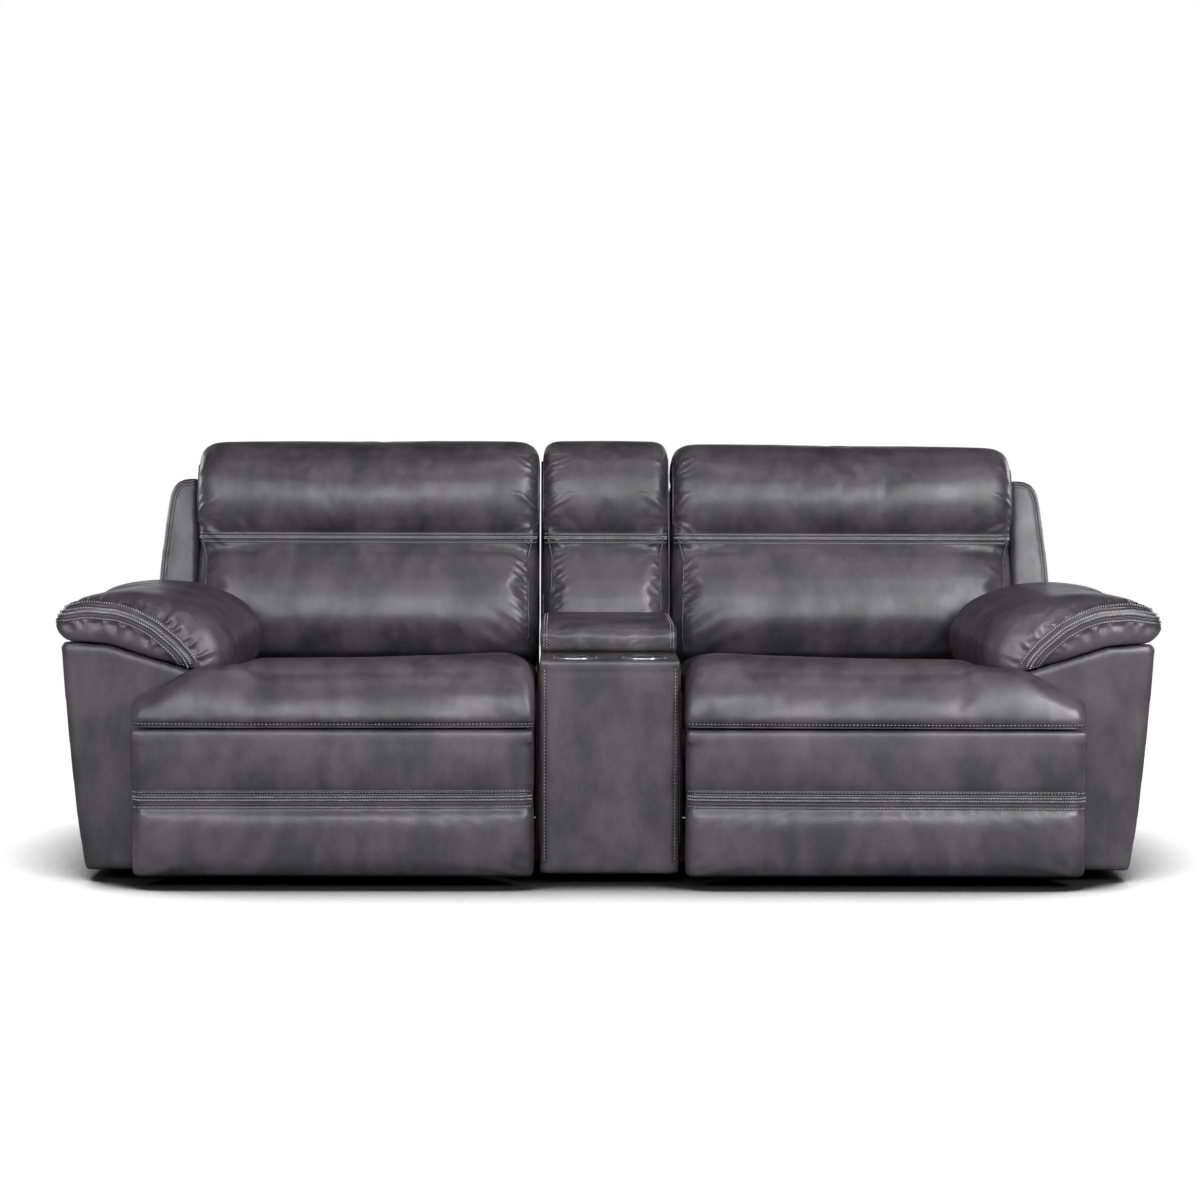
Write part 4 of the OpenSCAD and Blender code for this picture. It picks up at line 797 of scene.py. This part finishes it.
for side, name, seed in ((1, "right", 53), (-1, "left", 67)):
    pad = foot if side > 0 else mirrored(foot, "footrest_left")
    middle = lay(surface(pad), band_path, side)
    press(pad, middle, 2.2, 20)
    tree = surface(pad)
    middle = lay(tree, band_path, side)
    over, edge, under = beside(tree, middle, -19), beside(tree, middle, -16), beside(tree, middle, 19)
    pucker(pad, over, -1, 45, 0.7, 30, seed, draw=0.8)
    pucker(pad, under, 1, 40, 0.7, 32, seed + 1, draw=0.8)
    crease(pad, over, 8, 0.5)
    crease(pad, under, 8, 0.6)
    dress(pad, f"{name}_foot", [f"foot_pad_{name}"], hide)
    strip(f"foot_band_{name}", tree, edge, foot_profile, band_hide, f"{name}_foot")
    sew(f"foot_stitches_{name}", [
        (beside(tree, edge, 0, 1.4), 7, 4.4, 1.6, 20), (beside(tree, edge, 10, 2.5), 5, 6.2, 2.0, 38),
        (beside(tree, edge, 17, 2.5), 5, 6.2, 2.0, -38), (beside(tree, edge, 32, 1.5), 7, 4.0, 1.6, 0)],
        thread, f"{name}_foot")

# Backs. Each is a padded shell with stitched wings, and on it one cushion of two fibre-filled chambers, lumbar and
# head, drawn in between them by a sewn band and gathered into the seams down its sides.
shell = skin("back_shell_right", ["back_cover_right"], 0.008, 3)
wing_path = [(1.016, 0.24, 0.46), (1.015, 0.24, 0.52), (1.0105, 0.24, 0.58), (1.0055, 0.25, 0.64),
             (0.999, 0.26, 0.70), (0.992, 0.27, 0.76), (0.985, 0.27, 0.785), (0.970, 0.28, 0.800),
             (0.945, 0.28, 0.803)]
for side, name in ((1, "right"), (-1, "left")):
    back = shell if side > 0 else mirrored(shell, "back_shell_left")
    tree = surface(back)
    rim = lay(tree, wing_path, side)
    dress(back, f"{name}_back", [f"back_cover_{name}"], hide)
    sew(f"wing_stitches_{name}", [
        (beside(tree, rim, -3, 0.9), 5, 6, 2.2, 38), (beside(tree, rim, 3, 0.9), 5, 6, 2.2, -38),
        (beside(tree, rim, -10, 0.5), 7, 4, 1.8, 0)], thread, f"{name}_back")
dress(skin("console_shell", ["console_back_cover"], 0.006, 2), "root", ["console_back_cover"], hide)


BAND_HEIGHT = 0.363


def chamber_link(x_low, x_high):
    """The stuffing that joins the two chambers behind the band."""
    return leaning_block((x_low + x_high) / 2, -0.076, BAND_HEIGHT, (x_high - x_low, 0.092, 0.026))


def band_line(x_low, x_high, count=12):
    """Points in front of a back cushion, where its band crosses it."""
    return [lean(x, -0.13, BAND_HEIGHT) for x in np.linspace(x_low, x_high, count)]


def held_back(cushion, x_low, x_high, count=12):
    """The points of a back cushion that stay put: its rear, its foot and a line behind the band."""
    co, out = places(cushion), places(cushion, "normal")
    held = (out[:, 1] > 0.55) | (co[:, 2] < 0.40)
    held[near(co, lay(surface(cushion), band_line(x_low, x_high, count)), 0.016)[0]] = True
    return held


back_profile = [(-3, -1.5), (-2, 0.5), (0, 0.9), (1.5, 0.8), (2.2, 1.4), (3, 1.9), (3.8, 1.4), (4.4, 0.1), (5, 1.2),
                (6.8, 2.1), (8.6, 1.1), (10.4, 2.1), (12.2, 1.2), (13.5, 0.6), (15.2, 0.5), (16, -1.3), (16.8, 0.5),
                (18, 0.9), (20, 0.9), (21.5, 0.6), (23, -1.5)]


def sew_back(cushion, name, body, low, high, side, seeds, reach):
    """Draws the band in, gathers the side seams, and sews the band and the thin piping on."""
    across = band_line(low + 0.006, high - 0.006)
    band = lay(surface(cushion), across, side)
    press(cushion, band, 3.0, 14)
    tree = surface(cushion)
    over, under = beside(tree, band, -12), beside(tree, band, 12)
    pucker(cushion, over, -1, reach, 1.2, 60, seeds[0], draw=0.8)
    pucker(cushion, under, 1, reach, 1.2, 60, seeds[1], draw=0.8)
    crease(cushion, over, 10, 0.5)
    crease(cushion, under, 10, 0.6)
    for x, inner, seed in ((low, True, seeds[2]), (high, False, seeds[3])):
        inset, below = (0.005, 1) if inner else (-0.005, -1)
        for bottom, top in ((0.10, 0.335), (0.39, 0.56)):
            rows = [lean(x + inset, -0.16, h) for h in np.linspace(bottom, top, 8)]
            down = lay(surface(cushion), rows, side)
            pucker(cushion, down, below, 66 if inner else 44, 4.6 if inner else 2.6, 20 if inner else 30,
                   seed + round(bottom * 100), lean=32 * side, draw=0.4)
            crease(cushion, down, 5, 0.4)
        for height, lift in ((0.392, 42), (0.338, -42)):
            rows = [lean(x + inset, -0.15, height + d) for d in (0.0, 0.03, 0.06)[::1 if lift > 0 else -1]]
            pinch = lay(surface(cushion), sorted(rows, key=lambda p: p.z), side)
            pucker(cushion, pinch, below, 125, 6.0, 34, seed + lift, lean=lift * side, draw=0.2)
    tree = surface(cushion)
    edge = beside(tree, lay(tree, across, side), -10)
    strip(f"back_band_{name}", tree, edge, back_profile, band_hide, body)
    sew(f"back_stitches_{name}", [
        (beside(tree, edge, 0, 1.2), 7, 4.2, 1.5, 0), (beside(tree, edge, 6.8, 2.4), 4.6, 5.0, 1.7, 38),
        (beside(tree, edge, 10.4, 2.4), 4.6, 5.0, 1.7, -38), (beside(tree, edge, 20, 1.2), 7, 4.2, 1.5, 0)],
        thread, body)
    for x, label in ((low + 0.002, "near"), (high - 0.002, "far")):
        for bottom, top, part in ((0.09, 0.342, "lumbar"), (0.384, 0.59, "head")):
            line = lay(tree, [lean(x, -0.15, h) for h in np.linspace(bottom, top, 10)], side)
            welt(f"{part}_piping_{name}_{label}", beside(tree, line, 0, 0.6), 1.6, hide, body)


back = skin("back_cushion_right", ["lumbar_cushion_right", "head_pillow_right"], 0.008, 3,
            [chamber_link(0.158, 0.921)])
swell(back, held_back(back, 0.155, 0.924), pressure=4.0, growth=0.005, cap=0.010, give=(0.3, 1, 0.5))
soften(back, 2)
refine(back)
left_back = mirrored(back, "back_cushion_left")
for side, name, cushion, sag, seeds in ((1, "right", back, (0.005, 0.007), (71, 73, 79, 83)),
                                        (-1, "left", left_back, (0, 0.004), (89, 97, 101, 103))):
    co = places(cushion)
    co[:, 2] -= ((sag[0] + sag[1] * np.clip(abs(co[:, 0]) - 0.15, 0, 0.78) / 0.78)
                 * np.clip((co[:, 2] - 0.70) / 0.2, 0, 1))
    move(cushion, co)
    sew_back(cushion, name, f"{name}_back", 0.152, 0.927, side, seeds, 70)
    dress(cushion, f"{name}_back", [f"lumbar_cushion_{name}", f"head_pillow_{name}"], hide)

middle_back = skin("back_cushion_console", ["console_lumbar", "console_head_pillow"], 0.007, 3,
                   [chamber_link(-0.138, 0.138)])
swell(middle_back, held_back(middle_back, -0.137, 0.137, 8), pressure=3.5, growth=0.01, cap=0.007, give=(0.3, 1, 0.5))
refine(middle_back)
sew_back(middle_back, "console", "root", -0.143, 0.143, 1, (107, 109, 113, 127), 50)
dress(middle_back, "root", ["console_lumbar", "console_head_pillow"], hide)
